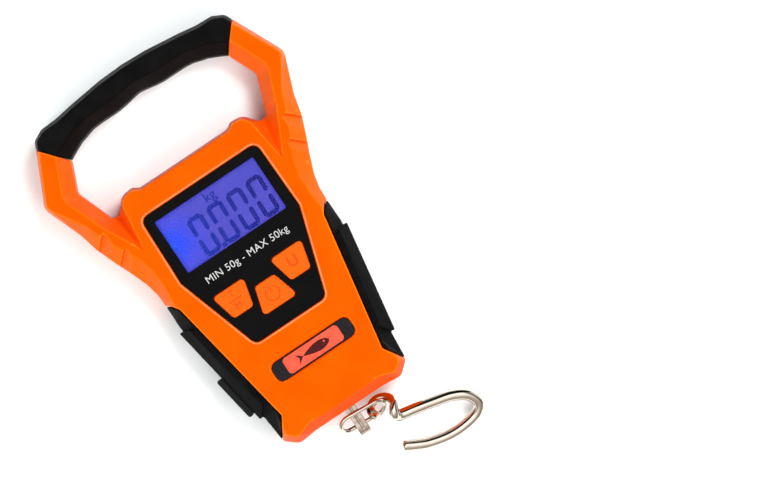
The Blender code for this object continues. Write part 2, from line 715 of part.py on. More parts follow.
# ---- display -----------------------------------------------------------------------------------
def display_panel():
    low = POCKET_FLOOR + GAP
    panel = prism("display_panel", panel_outline(), low, low + PANEL_THICK, "black_gloss", chamfer=0.25)
    holes = [block("lcd_view_hole", (-LCD_VIEW[0] / 2, LCD_VIEW[0] / 2),
                   (LCD_CENTRE_Y - LCD_VIEW[1] / 2, LCD_CENTRE_Y + LCD_VIEW[1] / 2), (20, 30),
                   cutter=True, radius=0.6)]
    holes += [prism(f"{name}_panel_hole", button_outline(corners, GAP), 20, 30, cutter=True)
              for name, corners in BUTTONS.items()]
    return cut_all(panel, holes)


def lcd_slab(name, width, height, z, palette_name="", y_shift=0.0, radius=0.0, cutter=False):
    y = LCD_CENTRE_Y + y_shift
    return block(name, (-width / 2, width / 2), (y - height / 2, y + height / 2), z, palette_name,
                 cutter, radius)


def lcd_stack():
    lcd_slab("lcd_window", 50.2, 28.2, (25.5, 26.6), "clear_plastic", radius=0.8)
    lcd_slab("lcd_cell", 48.4, 26.6, (23.1, 25.1), "lcd_blue")
    lcd_slab("light_guide", 46, 21.4, (20.6, 22.7), "white_plastic", 2.3)
    lcd_slab("lcd_connector", 40, 2.0, (19.8, 22.7), "dark_plastic", -11.0)
    holder = lcd_slab("lcd_holder", 54, 32, (19.8, 24.2), "white_plastic", radius=1)
    boolean(holder, lcd_slab("holder_well", 49, 27.2, (20.3, 30), cutter=True))
    boolean(holder, lcd_slab("holder_slot", 41, 2.8, (15, 30), y_shift=-11.0, cutter=True))


def button_centre(corners):
    return (sum(x for x, y in corners) / 4, sum(y for x, y in corners) / 4)


def button(name, corners):
    """A key cap: its flange sits behind the front wall, and its face stands out of the panel."""
    points = button_outline(corners, 0)
    top = FRONT_WALL_INNER - GAP
    foot = top - KEY_FLANGE_THICK
    cap = prism(name, points, foot, DEPTH + BUTTON_PROUD - 0.5, "orange_plastic", chamfer=0.5)
    boolean(cap, prism(f"{name}_flange", offset(points, -KEY_FLANGE), foot, top, cutter=True), "UNION")
    return pivot_at(cap, (*button_centre(corners), foot))


def tact_switch(name, corners):
    """A switch body on the board, and the plunger that its key presses."""
    x, y = button_centre(corners)
    half = 3.0
    floor = BOARD_Z[1] + GAP
    body = block(f"{name}_switch", (x - half, x + half), (y - half, y + half), (floor, floor + 2.3),
                 "dark_plastic", radius=0.4)
    boolean(body, cylinder(f"{name}_switch_bore", (x, y, floor - 1), (0, 0, 1), 5, 1.9, cutter=True,
                           sides=16))
    plunger_foot = (x, y, floor + BUTTON_TRAVEL + 0.1)
    plunger = cylinder(f"{name}_plunger", plunger_foot, (0, 0, 1), 2.4, 1.6, "white_plastic", sides=16)
    return pivot_at(plunger, plunger_foot)


def main_board():
    corners = [(0, 28.5, 0), (25.5, 28.5, 1), (27.0, -8, 1), (19.5, -35.0, 1), (0, -35.0, 0)]
    return prism("main_board", rounded(mirrored(corners)), *BOARD_Z, "circuit_board")


def controller_chip():
    return block("controller_chip", (-9, -1), (-13.5, -5.5), (BOARD_Z[1] + GAP, BOARD_Z[1] + GAP + 1.4),
                 "dark_plastic", radius=0.3)


def name_plate():
    return prism("name_plate", plate_outline(), DEPTH - 0.6, DEPTH + 0.4, "black_gloss", chamfer=0.3)


# ---- batteries ---------------------------------------------------------------------------------
CELL_RADIUS = 5.2
CELL_LENGTH = 44.5
CELL_X = 6.0
CELL_Z = 6.9
CELL_Y = -15.4


def battery(name, side, nub_up):
    y = CELL_Y if nub_up else CELL_Y + CELL_LENGTH
    direction = (0, 1, 0) if nub_up else (0, -1, 0)
    body = CELL_LENGTH - 1.0
    profile = [(CELL_RADIUS - 0.5, 0), (CELL_RADIUS, 0.5), (CELL_RADIUS, body - 0.6),
               (CELL_RADIUS - 0.6, body), (1.9, body), (1.8, CELL_LENGTH)]
    return turned(name, profile, (side * CELL_X, y, CELL_Z), direction, "cell_wrap")


def coil_spring(name, x, y_low, length, turns, radius):
    """A tapered battery spring, wound along +Y."""
    steps = turns * 12
    path = []
    for step in range(steps + 1):
        share = step / steps
        angle = 2 * math.pi * turns * share
        reach = radius * (1 - 0.35 * share)
        path.append(Vector((x + reach * math.cos(angle), y_low + length * share,
                            CELL_Z + reach * math.sin(angle))))
    return tube(name, path, [0.3] * len(path), "spring_steel", sides=6)


def battery_parts():
    battery("battery_left", -1, True)
    battery("battery_right", 1, False)
    end = CELL_Y + CELL_LENGTH
    block("bridge_contact", (-10, 10), (end + 1.1, end + 1.5), (3.2, 11), "spring_steel")
    coil_spring("cell_spring_left", -CELL_X, CELL_Y - 2.7, 1.9, 3, 3.4)
    block("cell_contact_right", (CELL_X - 4, CELL_X + 4), (CELL_Y - 1.0, CELL_Y - 0.6), (3.2, 11),
          "spring_steel")


def battery_door():
    door = prism("battery_door", box_outline(-DOOR_HALF_WIDTH, DOOR_HALF_WIDTH, *DOOR_Y, 2.0), 0,
                 DOOR_THICK, "orange_plastic")
    cutters = [
        cylinder("door_head_room", (*DOOR_SCREW, -1), (0, 0, 1), 2.1, 2.8, cutter=True, sides=16),
        cylinder("door_shank_room", (*DOOR_SCREW, -1), (0, 0, 1), 5, 1.6, cutter=True, sides=12),
    ]
    for index in range(5):
        y = 27.0 - 2.2 * index
        cutters.append(block(f"door_groove_{index}", (-9, 9), (y - 0.5, y + 0.5), (-1, 0.5), cutter=True))
    return cut_all(door, cutters)


def door_seal():
    low, high = DOOR_THICK + 0.25, DOOR_LEDGE - 0.25
    outer = box_outline(-14.7, 14.7, -21.6, 32.0, 1.5)
    inner = box_outline(-13.2, 13.2, -20.1, 31.4, 0.8)
    return plate_with_hole("door_seal", [(outer, low), (outer, high)], [(inner, low), (inner, high)],
                           "black_rubber")


def door_screw():
    return pan_screw("door_screw", *DOOR_SCREW, 0.2, 1.2, 6.0, 2.4, 0.7)


# ---- load path ---------------------------------------------------------------------------------
CELL_TOP = -37.4
BRACKET_SCREW_Y = -40.6
CELL_END = -59.4


def load_cell():
    """An S-shaped bending block: two slots from opposite sides, joined to two cross bores."""
    half_width, half_depth = 8.4, 4.6
    body = block("load_cell", (-half_width, half_width), (CELL_END, CELL_TOP),
                 (LOAD_Z - half_depth, LOAD_Z + half_depth), "aluminium", radius=0.6)
    tongue = block("load_cell_tongue", (-4, 4), (CELL_END - 7, CELL_END + 1), (LOAD_Z - 1.4, LOAD_Z + 1.4),
                   cutter=True)
    boolean(body, tongue, "UNION")
    slot_high = block("cell_slot_high", (-4.5, 12), (-44.2, -43.2), (0, 26), cutter=True)
    slot_low = block("cell_slot_low", (-12, 4.5), (-53.6, -52.6), (0, 26), cutter=True)
    bore_high = cylinder("cell_bore_high", (-3.5, -43.7, 0), (0, 0, 1), 26, 1.8, cutter=True, sides=16)
    bore_low = cylinder("cell_bore_low", (3.5, -53.1, 0), (0, 0, 1), 26, 1.8, cutter=True, sides=16)
    bolt_hole = cylinder("cell_bolt_hole", (0, CELL_TOP + 1, LOAD_Z), (0, -1, 0), 5.6, 2.0,
                         cutter=True, sides=16)
    pin_hole = cylinder("cell_pin_hole", (0, PIN_Y, 5), (0, 0, 1), 16, 1.8, cutter=True, sides=16)
    return cut_all(body, [slot_high, slot_low, bore_high, bore_low, bolt_hole, pin_hole])


def load_bracket():
    """A steel plate across the case with two feet; the load cell hangs from it."""
    bracket = block("load_bracket", (-24, 24), (CELL_TOP + GAP, CELL_TOP + GAP + 2), (8, 18.6),
                    "spring_steel")
    cutters = []
    for side in (-1, 1):
        foot = block(f"bracket_foot_{side}", sorted((side * 14.6, side * 23.4)), (-44, -36),
                     (8, 9.8), cutter=True)
        boolean(bracket, foot, "UNION")
        cutters.append(cylinder(f"bracket_hole_{side}", (side * 19, BRACKET_SCREW_Y, 6), (0, 0, 1), 8, 1.6,
                                cutter=True, sides=12))
    cutters.append(cylinder("bracket_bolt_hole", (0, -40, LOAD_Z), (0, 1, 0), 8, 2.0, cutter=True,
                            sides=16))
    return cut_all(bracket, cutters)


def bracket_screws():
    for side, label in ((-1, "left"), (1, "right")):
        screw_top = 9.8 + GAP + 1.6
        pan_screw(f"bracket_screw_{label}", side * 19, BRACKET_SCREW_Y, screw_top, 1.2, 7.0, 2.4, 1.6,
                  upward=False)


def anchor_bolt():
    """A hexagon-headed bolt from the bracket into the top of the load cell."""
    head_y = CELL_TOP + 2 * GAP + 2
    bolt = cylinder("anchor_bolt", (0, head_y, LOAD_Z), (0, 1, 0), 2.4, 3.6, "screw_steel", sides=6)
    shank = cylinder("anchor_bolt_shank", (0, head_y + 1, LOAD_Z), (0, -1, 0), 7.4, 1.7, cutter=True,
                     sides=16)
    return boolean(bolt, shank, "UNION")


def strap_pin():
    head = 0.8
    reach = STRAP_GAP / 2 + STRAP_THICK + GAP
    profile = [(2.4, 0), (2.4, head), (1.5, head), (1.5, head + 2 * reach + 0.2)]
    return turned("strap_pin", profile, (0, PIN_Y, LOAD_Z - reach - head), (0, 0, 1), "spring_steel",
                  sides=16)


def hook_strap():
    """A narrow strap bent into a U round the link; each leg has a pressed centre groove."""
    half_gap = STRAP_GAP / 2
    outer = half_gap + STRAP_THICK
    bow_y = STRAP_END_Y + outer
    top_y = -60.6
    outline = [(top_y, outer), (bow_y, outer)]
    outline += [(bow_y - outer * math.sin(a), outer * math.cos(a)) for a in bow_angles()]
    outline += [(bow_y, -outer), (top_y, -outer), (top_y, -half_gap), (bow_y, -half_gap)]
    outline += [(bow_y - half_gap * math.sin(a), -half_gap * math.cos(a)) for a in bow_angles()]
    outline += [(bow_y, half_gap), (top_y, half_gap)]
    bm = bmesh.new()
    left = [bm.verts.new((-STRAP_HALF_WIDTH, y, LOAD_Z + z)) for y, z in outline]
    right = [bm.verts.new((STRAP_HALF_WIDTH, y, LOAD_Z + z)) for y, z in outline]
    bm.faces.new(left)
    bm.faces.new(right)
    for index in range(len(outline)):
        after = (index + 1) % len(outline)
        bm.faces.new((left[index], left[after], right[after], right[index]))
    strap = add_object("hook_strap", bm, "bright_steel")
    groove = cylinder("strap_groove", (0, -98, LOAD_Z + outer + 0.5), (0, 1, 0), 34, 0.8, cutter=True,
                      sides=12)
    pin_hole = cylinder("strap_pin_hole", (0, PIN_Y, 5), (0, 0, 1), 16, 1.8, cutter=True, sides=16)
    return smooth(cut_all(strap, [groove, pin_hole]))


def bow_angles(steps=6):
    return [math.pi * step / steps for step in range(1, steps)]


def strap_seal():
    """A rubber bush in the bottom wall, round the strap."""
    outer = box_outline(-4.7, 4.7, -81.0, -77.4, 0.0)
    seal = prism("strap_seal", outer, 8.3, 17.7, "black_rubber")
    slot = block("strap_seal_slot", (-STRAP_HALF_WIDTH - GAP, STRAP_HALF_WIDTH + GAP), (-90, -70),
                 (LOAD_Z - 3.0, LOAD_Z + 3.0), cutter=True)
    return boolean(seal, slot)


def link_across():
    """The link's short direction, square to its long one."""
    across = Vector((0, math.cos(LINK_TILT), math.sin(LINK_TILT)))
    return (across - LINK_ALONG * across.dot(LINK_ALONG)).normalized()


def link_path(turn_steps=9):
    """Centreline of the oval link: two straights joined by two half circles."""
    path = []
    for end in (1, -1):
        for step in range(turn_steps + 1):
            angle = math.pi * step / turn_steps
            reach = LINK_HALF_STRAIGHT + LINK_HALF_WIDTH * math.sin(angle)
            sideways = LINK_HALF_WIDTH * math.cos(angle)
            path.append(LINK_CENTRE + end * (LINK_ALONG * reach + link_across() * sideways))
    return path


def hook_link():
    """The link turns where its rear strand lies in the strap's bow, on the case's centreline."""
    path = link_path()
    link = tube("hook_link", path, [LINK_WIRE / 2] * len(path), "bright_steel", closed=True)
    strand = LINK_CENTRE - link_across() * LINK_HALF_WIDTH
    return pivot_at(link, strand - LINK_ALONG * (strand.x / LINK_ALONG.x))


def hook_axes():
    """The hook lies in its own plane: u along its shank, v across it, w out of the plane."""
    u = Vector((math.cos(EYE_YAW), math.sin(EYE_YAW), 0))
    w = Vector((math.sin(EYE_YAW) * math.sin(HOOK_TILT), -math.cos(EYE_YAW) * math.sin(HOOK_TILT),
                math.cos(HOOK_TILT)))
    return u, w.cross(u), w


def eye_up():
    """The direction in the eye's plane that is square to the shank's."""
    v, w = hook_axes()[1:]
    return w * math.cos(EYE_TWIST) - v * math.sin(EYE_TWIST)


def hook_point(x, y):
    """A point of the hook's plane that lies over (x, y) when seen from above."""
    w = hook_axes()[2]
    height = -(w.x * (x - EYE_CENTRE.x) + w.y * (y - EYE_CENTRE.y)) / w.z
    return Vector((x, y, EYE_CENTRE.z + height))


HOOK_SHANK_PLAN = [(13.9, -94.3), (17.0, -95.2), (20.5, -96.0), (28.5, -97.8), (36.0, -99.8), (41.6, -103.2),
                   (43.6, -108.0), (40.6, -111.3), (34.0, -112.7), (26.5, -112.6), (18.0, -110.6),
                   (12.6, -108.1), (9.8, -106.5)]


HOOK_BEND_PLAN = (12.6, -93.6)
HOOK_BEND_RISE = 2.4             # the bar climbs out of the hook's plane to reach the eye


def hook():
    """A bent round bar: an eye that starts beside the shank, the shank, the bowl and a cut tip."""
    u, up = hook_axes()[0], eye_up()
    eye = []
    steps = 20
    start, end = math.radians(232), math.radians(-38)
    for step in range(steps + 1):
        angle = start + (end - start) * step / steps
        eye.append(EYE_CENTRE + EYE_RADIUS * (u * math.cos(angle) - up * math.sin(angle)))
    shank = [hook_point(x, y) for x, y in HOOK_SHANK_PLAN]
    bend = hook_point(*HOOK_BEND_PLAN) + hook_axes()[2] * HOOK_BEND_RISE
    path = eye[:-1] + smooth_path([eye[-1], bend] + shank, 4)
    radii = []
    for index in range(len(path)):
        grow = min(max((index - steps) / 8, 0), 1)
        radii.append((EYE_WIRE + (HOOK_WIRE - EYE_WIRE) * grow) / 2)
    tip = path[-1] - path[-2]
    path.append(path[-1] + tip.normalized() * 1.1)
    radii.append(HOOK_WIRE * 0.3)
    return pivot_at(tube("hook", path, radii, "bright_steel"), EYE_CENTRE)


# ---- measuring tape ----------------------------------------------------------------------------
REEL_HALF = 6.2                  # along the axle
FLANGE_RADIUS = 7.4
REEL_BORE = 1.4


def tape_reel(along):
    """A spool with two flanges and a bore for the axle."""
    inner = TAPE_HALF_WIDTH + 2 * GAP
    profile = [(FLANGE_RADIUS, -REEL_HALF), (FLANGE_RADIUS, -inner), (HUB_RADIUS, -inner),
               (HUB_RADIUS, inner), (FLANGE_RADIUS, inner), (FLANGE_RADIUS, REEL_HALF),
               (REEL_BORE, REEL_HALF), (REEL_BORE, -REEL_HALF)]
    reel = turned("tape_reel", profile, REEL_CENTRE, along, "white_plastic", hollow=True)
    return pivot_at(reel, REEL_CENTRE)


def tape_coil(along):
    """The wound tape, as one ring on the spool."""
    half = TAPE_HALF_WIDTH
    profile = [(COIL_RADIUS, -half), (COIL_RADIUS, half), (HUB_RADIUS + GAP, half),
               (HUB_RADIUS + GAP, -half)]
    coil = turned("tape_coil", profile, REEL_CENTRE, along, "tape_yellow", hollow=True)
    return pivot_at(coil, REEL_CENTRE)


def tape_parts():
    along = tape_axes().to_3x3() @ Vector((0, 1, 0))
    tape_reel(along)
    tape_coil(along)
    cylinder("reel_axle", in_tape_axes(0, -9.8, 0), along, 17.4, 1.0, "spring_steel", sides=12)
    reel_spring()
    half = TAPE_HALF_WIDTH
    blade = rotated_block("tape_blade", (-15.3, 0), (-half, half), (COIL_RADIUS + GAP, COIL_RADIUS + 2 * GAP),
                          "tape_yellow")
    tab = rotated_block("tape_tab", (-17.9, -15.3), TAB_ENDS, TAB_Z, "dark_plastic", radius=0.9)
    tape_exit = in_tape_axes(-15.6, 0, COIL_RADIUS + 1.5 * GAP)
    pivot_at(blade, tape_exit)
    pivot_at(tab, tape_exit)


def reel_spring():
    """A flat spiral spring beside the reel, from the axle out."""
    bm = bmesh.new()
    turns, per_turn, thick = 3, 16, 0.35
    low, high = -8.3, -6.5
    axes = tape_axes()
    rings = []
    for step in range(turns * per_turn + 1):
        angle = 2 * math.pi * step / per_turn
        inner = 1.5 + 4.2 * step / (turns * per_turn)
        ring = []
        for radius, y in ((inner, low), (inner, high), (inner + thick, high), (inner + thick, low)):
            ring.append(bm.verts.new(axes @ Vector((radius * math.cos(angle), y, radius * math.sin(angle)))))
        rings.append(ring)
    wall(bm, rings)
    bm.faces.new(rings[0])
    bm.faces.new(rings[-1])
    return add_object("reel_spring", bm, "spring_steel")


def build():
    clear_scene()
    front_shell()
    rear_shell()
    grip_half("grip_front", True)
    grip_half("grip_rear", False)
    flank_pad("left_pad", -1)
    flank_pad("right_pad", 1)
    case_seal()
    case_screws()
    display_panel()
    lcd_stack()
    for name, corners in BUTTONS.items():
        button(name, corners)
        tact_switch(name.replace("_button", ""), corners)
    main_board()
    controller_chip()
    name_plate()
    battery_parts()
    battery_door()
    door_seal()
    door_screw()
    load_cell()
    load_bracket()
    bracket_screws()
    anchor_bolt()
    strap_pin()
    hook_strap()
    strap_seal()
    hook_link()
    hook()
    tape_parts()


build()
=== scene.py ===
import json
import math

import bmesh
import bpy
from mathutils import Matrix, Vector


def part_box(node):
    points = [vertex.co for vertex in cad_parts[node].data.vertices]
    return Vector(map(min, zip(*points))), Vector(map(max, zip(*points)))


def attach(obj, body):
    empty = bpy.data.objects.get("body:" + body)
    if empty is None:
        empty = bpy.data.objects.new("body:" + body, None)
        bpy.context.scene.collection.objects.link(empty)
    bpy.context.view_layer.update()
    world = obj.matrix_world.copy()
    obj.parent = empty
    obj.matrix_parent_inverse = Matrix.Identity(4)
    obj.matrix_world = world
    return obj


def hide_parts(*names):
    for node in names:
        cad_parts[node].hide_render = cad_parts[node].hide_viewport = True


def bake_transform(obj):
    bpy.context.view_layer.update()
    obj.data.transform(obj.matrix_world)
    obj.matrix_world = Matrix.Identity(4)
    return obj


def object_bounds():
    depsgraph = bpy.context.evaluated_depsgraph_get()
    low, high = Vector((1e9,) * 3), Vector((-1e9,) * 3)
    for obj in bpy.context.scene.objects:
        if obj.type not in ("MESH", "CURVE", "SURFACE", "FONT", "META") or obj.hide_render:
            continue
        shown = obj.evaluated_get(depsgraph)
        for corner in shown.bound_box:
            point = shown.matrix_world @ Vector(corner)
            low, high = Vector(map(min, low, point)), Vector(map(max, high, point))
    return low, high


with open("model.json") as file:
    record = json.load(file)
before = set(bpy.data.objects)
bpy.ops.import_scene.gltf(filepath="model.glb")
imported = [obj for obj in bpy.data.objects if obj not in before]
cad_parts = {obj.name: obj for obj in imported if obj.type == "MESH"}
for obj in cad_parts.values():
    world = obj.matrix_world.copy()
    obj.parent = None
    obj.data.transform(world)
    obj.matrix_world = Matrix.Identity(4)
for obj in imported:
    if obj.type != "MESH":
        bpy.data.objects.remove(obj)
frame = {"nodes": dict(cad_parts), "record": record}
CAD_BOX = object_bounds()
NODES = frame["nodes"]
MM = 0.001

# ---- sizes that the CAD's own boxes don't give, in millimetres -----------------------------------
# display
LCD_VIEW = (46.6, 24.0)
LCD_CENTRE_Y = 10.5
LCD_RIM = 1.6                    # the backlight is dimmer this far in from the view's edges
LAMP_X = -23.6
LAMP_REACH = 18.0
INK_RAMP_X = (-14.0, 22.0)       # the segments darken from left to right between these
INK_LIFT = 0.03
INK_THICK = 0.06
DIGITS = 4
DIGIT_HEIGHT = 17.2
DIGIT_WIDTH = 7.2
DIGIT_PITCH = 9.22
DIGIT_LEFT = -13.3
DIGIT_FOOT_Y = -0.95
DIGIT_LEAN = 0.03
SEGMENT = 1.85
SEGMENT_GAP = 0.16
SEGMENT_TIP = SEGMENT * 0.45
UNIT_HEIGHT = 3.8
UNIT_CENTRE = (0.4, 19.3)
UNIT_BOLDER = 0.04
RANGE_HEIGHT = 2.9
RANGE_CENTRE = (0, -8.3)
RANGE_THICK = 0.04
WIDER_SPACING = 1.05
CAP_SHARE = 0.69                 # height of a capital as a share of the font's size

# keys and their marks
SIDE_KEY_X = 13.7
SIDE_KEY_Y = -20.6
POWER_KEY_Y = -26.4
MARK_SUNK = 0.08
MARK_THICK = 0.2
MODE_BAR_HALF = (2.8, 0.18)
MODE_BAR_RISE = 0.1
POWER_RING_RADIUS = 2.9
POWER_RING_DROP = 0.2
POWER_RING_START = 122           # degrees
POWER_RING_TURN = 296            # degrees
POWER_RING_STEPS = 40
POWER_STROKE_RISES = (0.3, 1.3, 2.4, 3.4)
POWER_WIRE = 0.2
MARK_SIDES = 10

# name plate; each layer runs from one height above the plate's face to another
FIELD_HALF = (12.9, 3.5)
FIELD_CORNER = 1.6
FIELD_LAYER = (0.01, 0.13)
FISH_SIZE = (15.0, 4.6)
FISH_LAYER = (0.14, 0.22)
FISH_EYE_PLACE = (5.3, 0.5)
FISH_EYE_HALF = 0.42
FISH_EYE_CORNER = 0.4
FISH_EYE_LAYER = (0.23, 0.28)

# bead round the display panel
LIP_OFFSET = 0.78
LIP_RADIUS = 0.45
LIP_Z = 27.8
LIP_STEP = 1.5
LIP_SIDES = 14

# finger grooves in the grip
GRIP_INNER_Y = 75.0
GROOVE_HALF_SPAN = 34.0
GROOVE_FADE = 6.0
GROOVE_DEPTH = 0.25
GROOVE_PITCH = 21.0

# link, eye and hook
LINK_CENTRE = Vector((2.4, -86.95, 15.2))
LINK_ALONG = Vector((20.5, -1.5, -4.7)).normalized()
LINK_TILT = math.radians(48)
LINK_HALF_WIDTH = 3.7
LINK_HALF_STRAIGHT = 6.3
LINK_WIRE = 2.0
LINK_CLEARANCE = 0.08            # keeps the round wire off the strap at the end of its swing
LINK_TURN_STEPS = 24
EYE_CENTRE = Vector((10.9, -88.3, 14.0))
EYE_RADIUS = 4.75
EYE_YAW = math.radians(-12)
EYE_TWIST = math.radians(25)
EYE_START = math.radians(232)
EYE_END = math.radians(-38)
EYE_STEPS = 60
EYE_WIRE = 3.7
HOOK_TILT = math.radians(25)
HOOK_WIRE = 4.8
HOOK_SIDES = 36
HOOK_BEND_PLAN = (12.8, -93.2)
HOOK_BEND_RISE = 2.4
HOOK_SHANK_PLAN = [(14.3, -94.8), (17.0, -95.4), (20.5, -96.0), (28.5, -97.8), (36.0, -99.8), (41.6, -103.2),
                   (43.6, -108.0), (40.6, -111.3), (34.0, -112.7), (26.5, -112.6), (18.0, -110.6),
                   (12.6, -108.1), (9.8, -106.5)]
SHANK_STEPS = 14                 # stations between two points of the plan
WIRE_GROWTH_STEPS = 28           # stations over which the eye's wire grows to the hook's
NECK_BEFORE = 6                  # stations before and after the eye's end that the easing moves
NECK_AFTER = 48
NECK_EASING = 120                # passes that round the sharp turn between the eye and the shank
TIP_LENGTH = 1.6
TIP_STEPS = 8
TIP_SHARE = 0.12                 # what is left of the radius at the very end

# measuring tape
FLANK_TILT = math.atan2(38.3 - 30.3, 65 - 17.5)
REEL_CENTRE = Vector((-18.6, -53.5, 10.3))
TAPE_LENGTH = 15.3
TAPE_HALF_WIDTH = 4.8
TAPE_THICK = 0.12
TAPE_ARCH = 0.12
TAPE_LIFT = 0.05
TAPE_STATIONS = 41
TAPE_STRIPS = 8
TAPE_MARKS = ((1.0, 0.18), (10.0, 0.5))     # pitch and line width

# battery film and circuit tracks
CELL_ENDS_Y = (-15.4, 29.1)
TRACK_PITCH = 9.0

# ---- stage, in metres ----------------------------------------------------------------------------
FLOOR_HALF = 2.5
FLOOR_GAP = 0.02 * MM
LAMPS_AIM = (0.0, -0.01, 0.01)
CAMERA_AIM = Vector((50.8 * MM, -35.3 * MM, 20 * MM))
CAMERA_RIGHT = Vector((0.8315, -0.5556, 0.0)).normalized()
CAMERA_DISTANCE = 2.2
CAMERA_WIDTH = 310.5 * MM
SENSOR_WIDTH = 36.0              # in millimetres, as a camera has it


# ---- shader helpers ------------------------------------------------------------------------------
def new_material(name, colour, roughness, metallic=0.0, specular=0.5):
    """A Principled material; returns it with its node tree and shader."""
    made = bpy.data.materials.new(name)
    made.use_nodes = True
    tree = made.node_tree
    shader = tree.nodes["Principled BSDF"]
    shader.inputs["Base Color"].default_value = (*colour, 1.0)
    shader.inputs["Roughness"].default_value = roughness
    shader.inputs["Metallic"].default_value = metallic
    shader.inputs["Specular IOR Level"].default_value = specular
    return made, tree, shader


def place(tree):
    """Where a point is on its piece, in metres."""
    return tree.nodes.new("ShaderNodeTexCoord").outputs["Object"]


def split_axes(tree, vector):
    """The X, Y and Z outputs of a vector."""
    axes = tree.nodes.new("ShaderNodeSeparateXYZ")
    tree.links.new(vector, axes.inputs[0])
    return axes.outputs


def maths(tree, operation, first, second=None):
    """A Math node on one output, or on an output and either a number or another output."""
    made = tree.nodes.new("ShaderNodeMath")
    made.operation = operation
    tree.links.new(first, made.inputs[0])
    if isinstance(second, float):
        made.inputs[1].default_value = second
    elif second is not None:
        tree.links.new(second, made.inputs[1])
    return made.outputs[0]


def noise(tree, grain_mm, detail=3.0, stretch=None):
    """Noise whose features are about grain_mm across, optionally stretched along an axis."""
    made = tree.nodes.new("ShaderNodeTexNoise")
    made.inputs["Scale"].default_value = 1.0 / (grain_mm * MM)
    made.inputs["Detail"].default_value = detail
    source = place(tree)
    if stretch:
        scaled = tree.nodes.new("ShaderNodeVectorMath")
        scaled.operation = "MULTIPLY"
        scaled.inputs[1].default_value = stretch
        tree.links.new(source, scaled.inputs[0])
        source = scaled.outputs[0]
    tree.links.new(source, made.inputs["Vector"])
    return made.outputs["Fac"]


def spread(tree, value, low, high, out_low, out_high):
    """Maps a value from one range to another and holds it there."""
    made = tree.nodes.new("ShaderNodeMapRange")
    made.inputs["From Min"].default_value = low
    made.inputs["From Max"].default_value = high
    made.inputs["To Min"].default_value = out_low
    made.inputs["To Max"].default_value = out_high
    tree.links.new(value, made.inputs["Value"])
    return made.outputs["Result"]


def colours(tree, value, *stops):
    """A colour ramp from (position, colour) stops."""
    made = tree.nodes.new("ShaderNodeValToRGB")
    ramp = made.color_ramp
    while len(ramp.elements) < len(stops):
        ramp.elements.new(0.5)
    for element, (position, colour) in zip(ramp.elements, stops):
        element.position = position
        element.color = (*colour, 1.0)
    tree.links.new(value, made.inputs["Fac"])
    return made.outputs["Color"]


def mix_colours(tree, amount, low, high):
    """Colour low where amount is 0 and high where it is 1; either may be an output or a colour."""
    made = tree.nodes.new("ShaderNodeMix")
    made.data_type = "RGBA"
    tree.links.new(amount, made.inputs["Factor"])
    for name, colour in (("A", low), ("B", high)):
        socket = [s for s in made.inputs if s.name == name and s.type == "RGBA"][0]
        if isinstance(colour, tuple):
            socket.default_value = (*colour, 1.0)
        else:
            tree.links.new(colour, socket)
    return [s for s in made.outputs if s.type == "RGBA"][0]


def paint_by(tree, shader, value, *stops):
    """The base colour follows a value through a ramp."""
    tree.links.new(colours(tree, value, *stops), shader.inputs["Base Color"])


def roughen_by(tree, shader, value, low, high, out_low, out_high):
    """The roughness follows a value."""
    tree.links.new(spread(tree, value, low, high, out_low, out_high), shader.inputs["Roughness"])


def add_bump(tree, shader, height, strength, depth_mm):
    """Fine relief from a height that runs from 0 to 1."""
    made = tree.nodes.new("ShaderNodeBump")
    made.inputs["Strength"].default_value = strength
    made.inputs["Distance"].default_value = depth_mm * MM
    tree.links.new(height, made.inputs["Height"])
    tree.links.new(made.outputs["Normal"], shader.inputs["Normal"])


def edge_highlight(tree, low=0.51, high=0.56):
    """0 on flat surfaces and 1 on convex edges, where the painted edge highlight goes."""
    geometry = tree.nodes.new("ShaderNodeNewGeometry")
    return spread(tree, geometry.outputs["Pointiness"], low, high, 0.0, 1.0)


def facing(tree, axis, low, high, hardly=0.0, fully=1.0):
    """One value where a surface hardly faces along an axis, either way, and another where it does."""
    normal = tree.nodes.new("ShaderNodeTexCoord").outputs["Normal"]
    share = maths(tree, "ABSOLUTE", split_axes(tree, normal)[axis])
    return spread(tree, share, low, high, hardly, fully)


def glow_with(tree, shader, colour):
    """The shader gives off a colour, as a backlit display does."""
    tree.links.new(colour, shader.inputs["Emission Color"])
    shader.inputs["Emission Strength"].default_value = 1.0


# ---- materials -----------------------------------------------------------------------------------
WARM_GLOSS = (1.0, 0.4, 0.05, 1.0)


def orange_plastic():
    """Satin orange, with a paler painted sheen on the mould's sides, a painted highlight on its rounded
    edges, and painted shade that makes its two end walls redder.
    """
    made, tree, shader = new_material("orange_plastic", (0.76, 0.08, 0.0), 0.4, specular=0.07)
    cloudy = noise(tree, 18.0, 2.0)
    body = colours(tree, cloudy, (0.3, (0.73, 0.064, 0.0)), (0.7, (0.80, 0.078, 0.0004)))
    # painted sheen: surfaces that face along X are paler
    sides = mix_colours(tree, facing(tree, "X", 0.3, 0.85), body, (0.84, 0.112, 0.003))
    # painted shade: surfaces that face along Y, the end walls, are redder
    ends = mix_colours(tree, facing(tree, "Y", 0.35, 0.8), sides, (0.76, 0.060, 0.001))
    # painted highlight on convex edges, kept off faces that look straight up
    turned_away = facing(tree, "Z", 0.97, 0.995, 1.0, 0.0)
    edges = maths(tree, "MULTIPLY", edge_highlight(tree, 0.508, 0.55), turned_away)
    edge_lit = mix_colours(tree, edges, ends, (0.9, 0.16, 0.006))
    tree.links.new(edge_lit, shader.inputs["Base Color"])
    grain = noise(tree, 0.35, 2.0)
    roughen_by(tree, shader, grain, 0.3, 0.7, 0.34, 0.46)
    add_bump(tree, shader, grain, 0.16, 0.05)
    shader.inputs["Specular Tint"].default_value = WARM_GLOSS
    return made


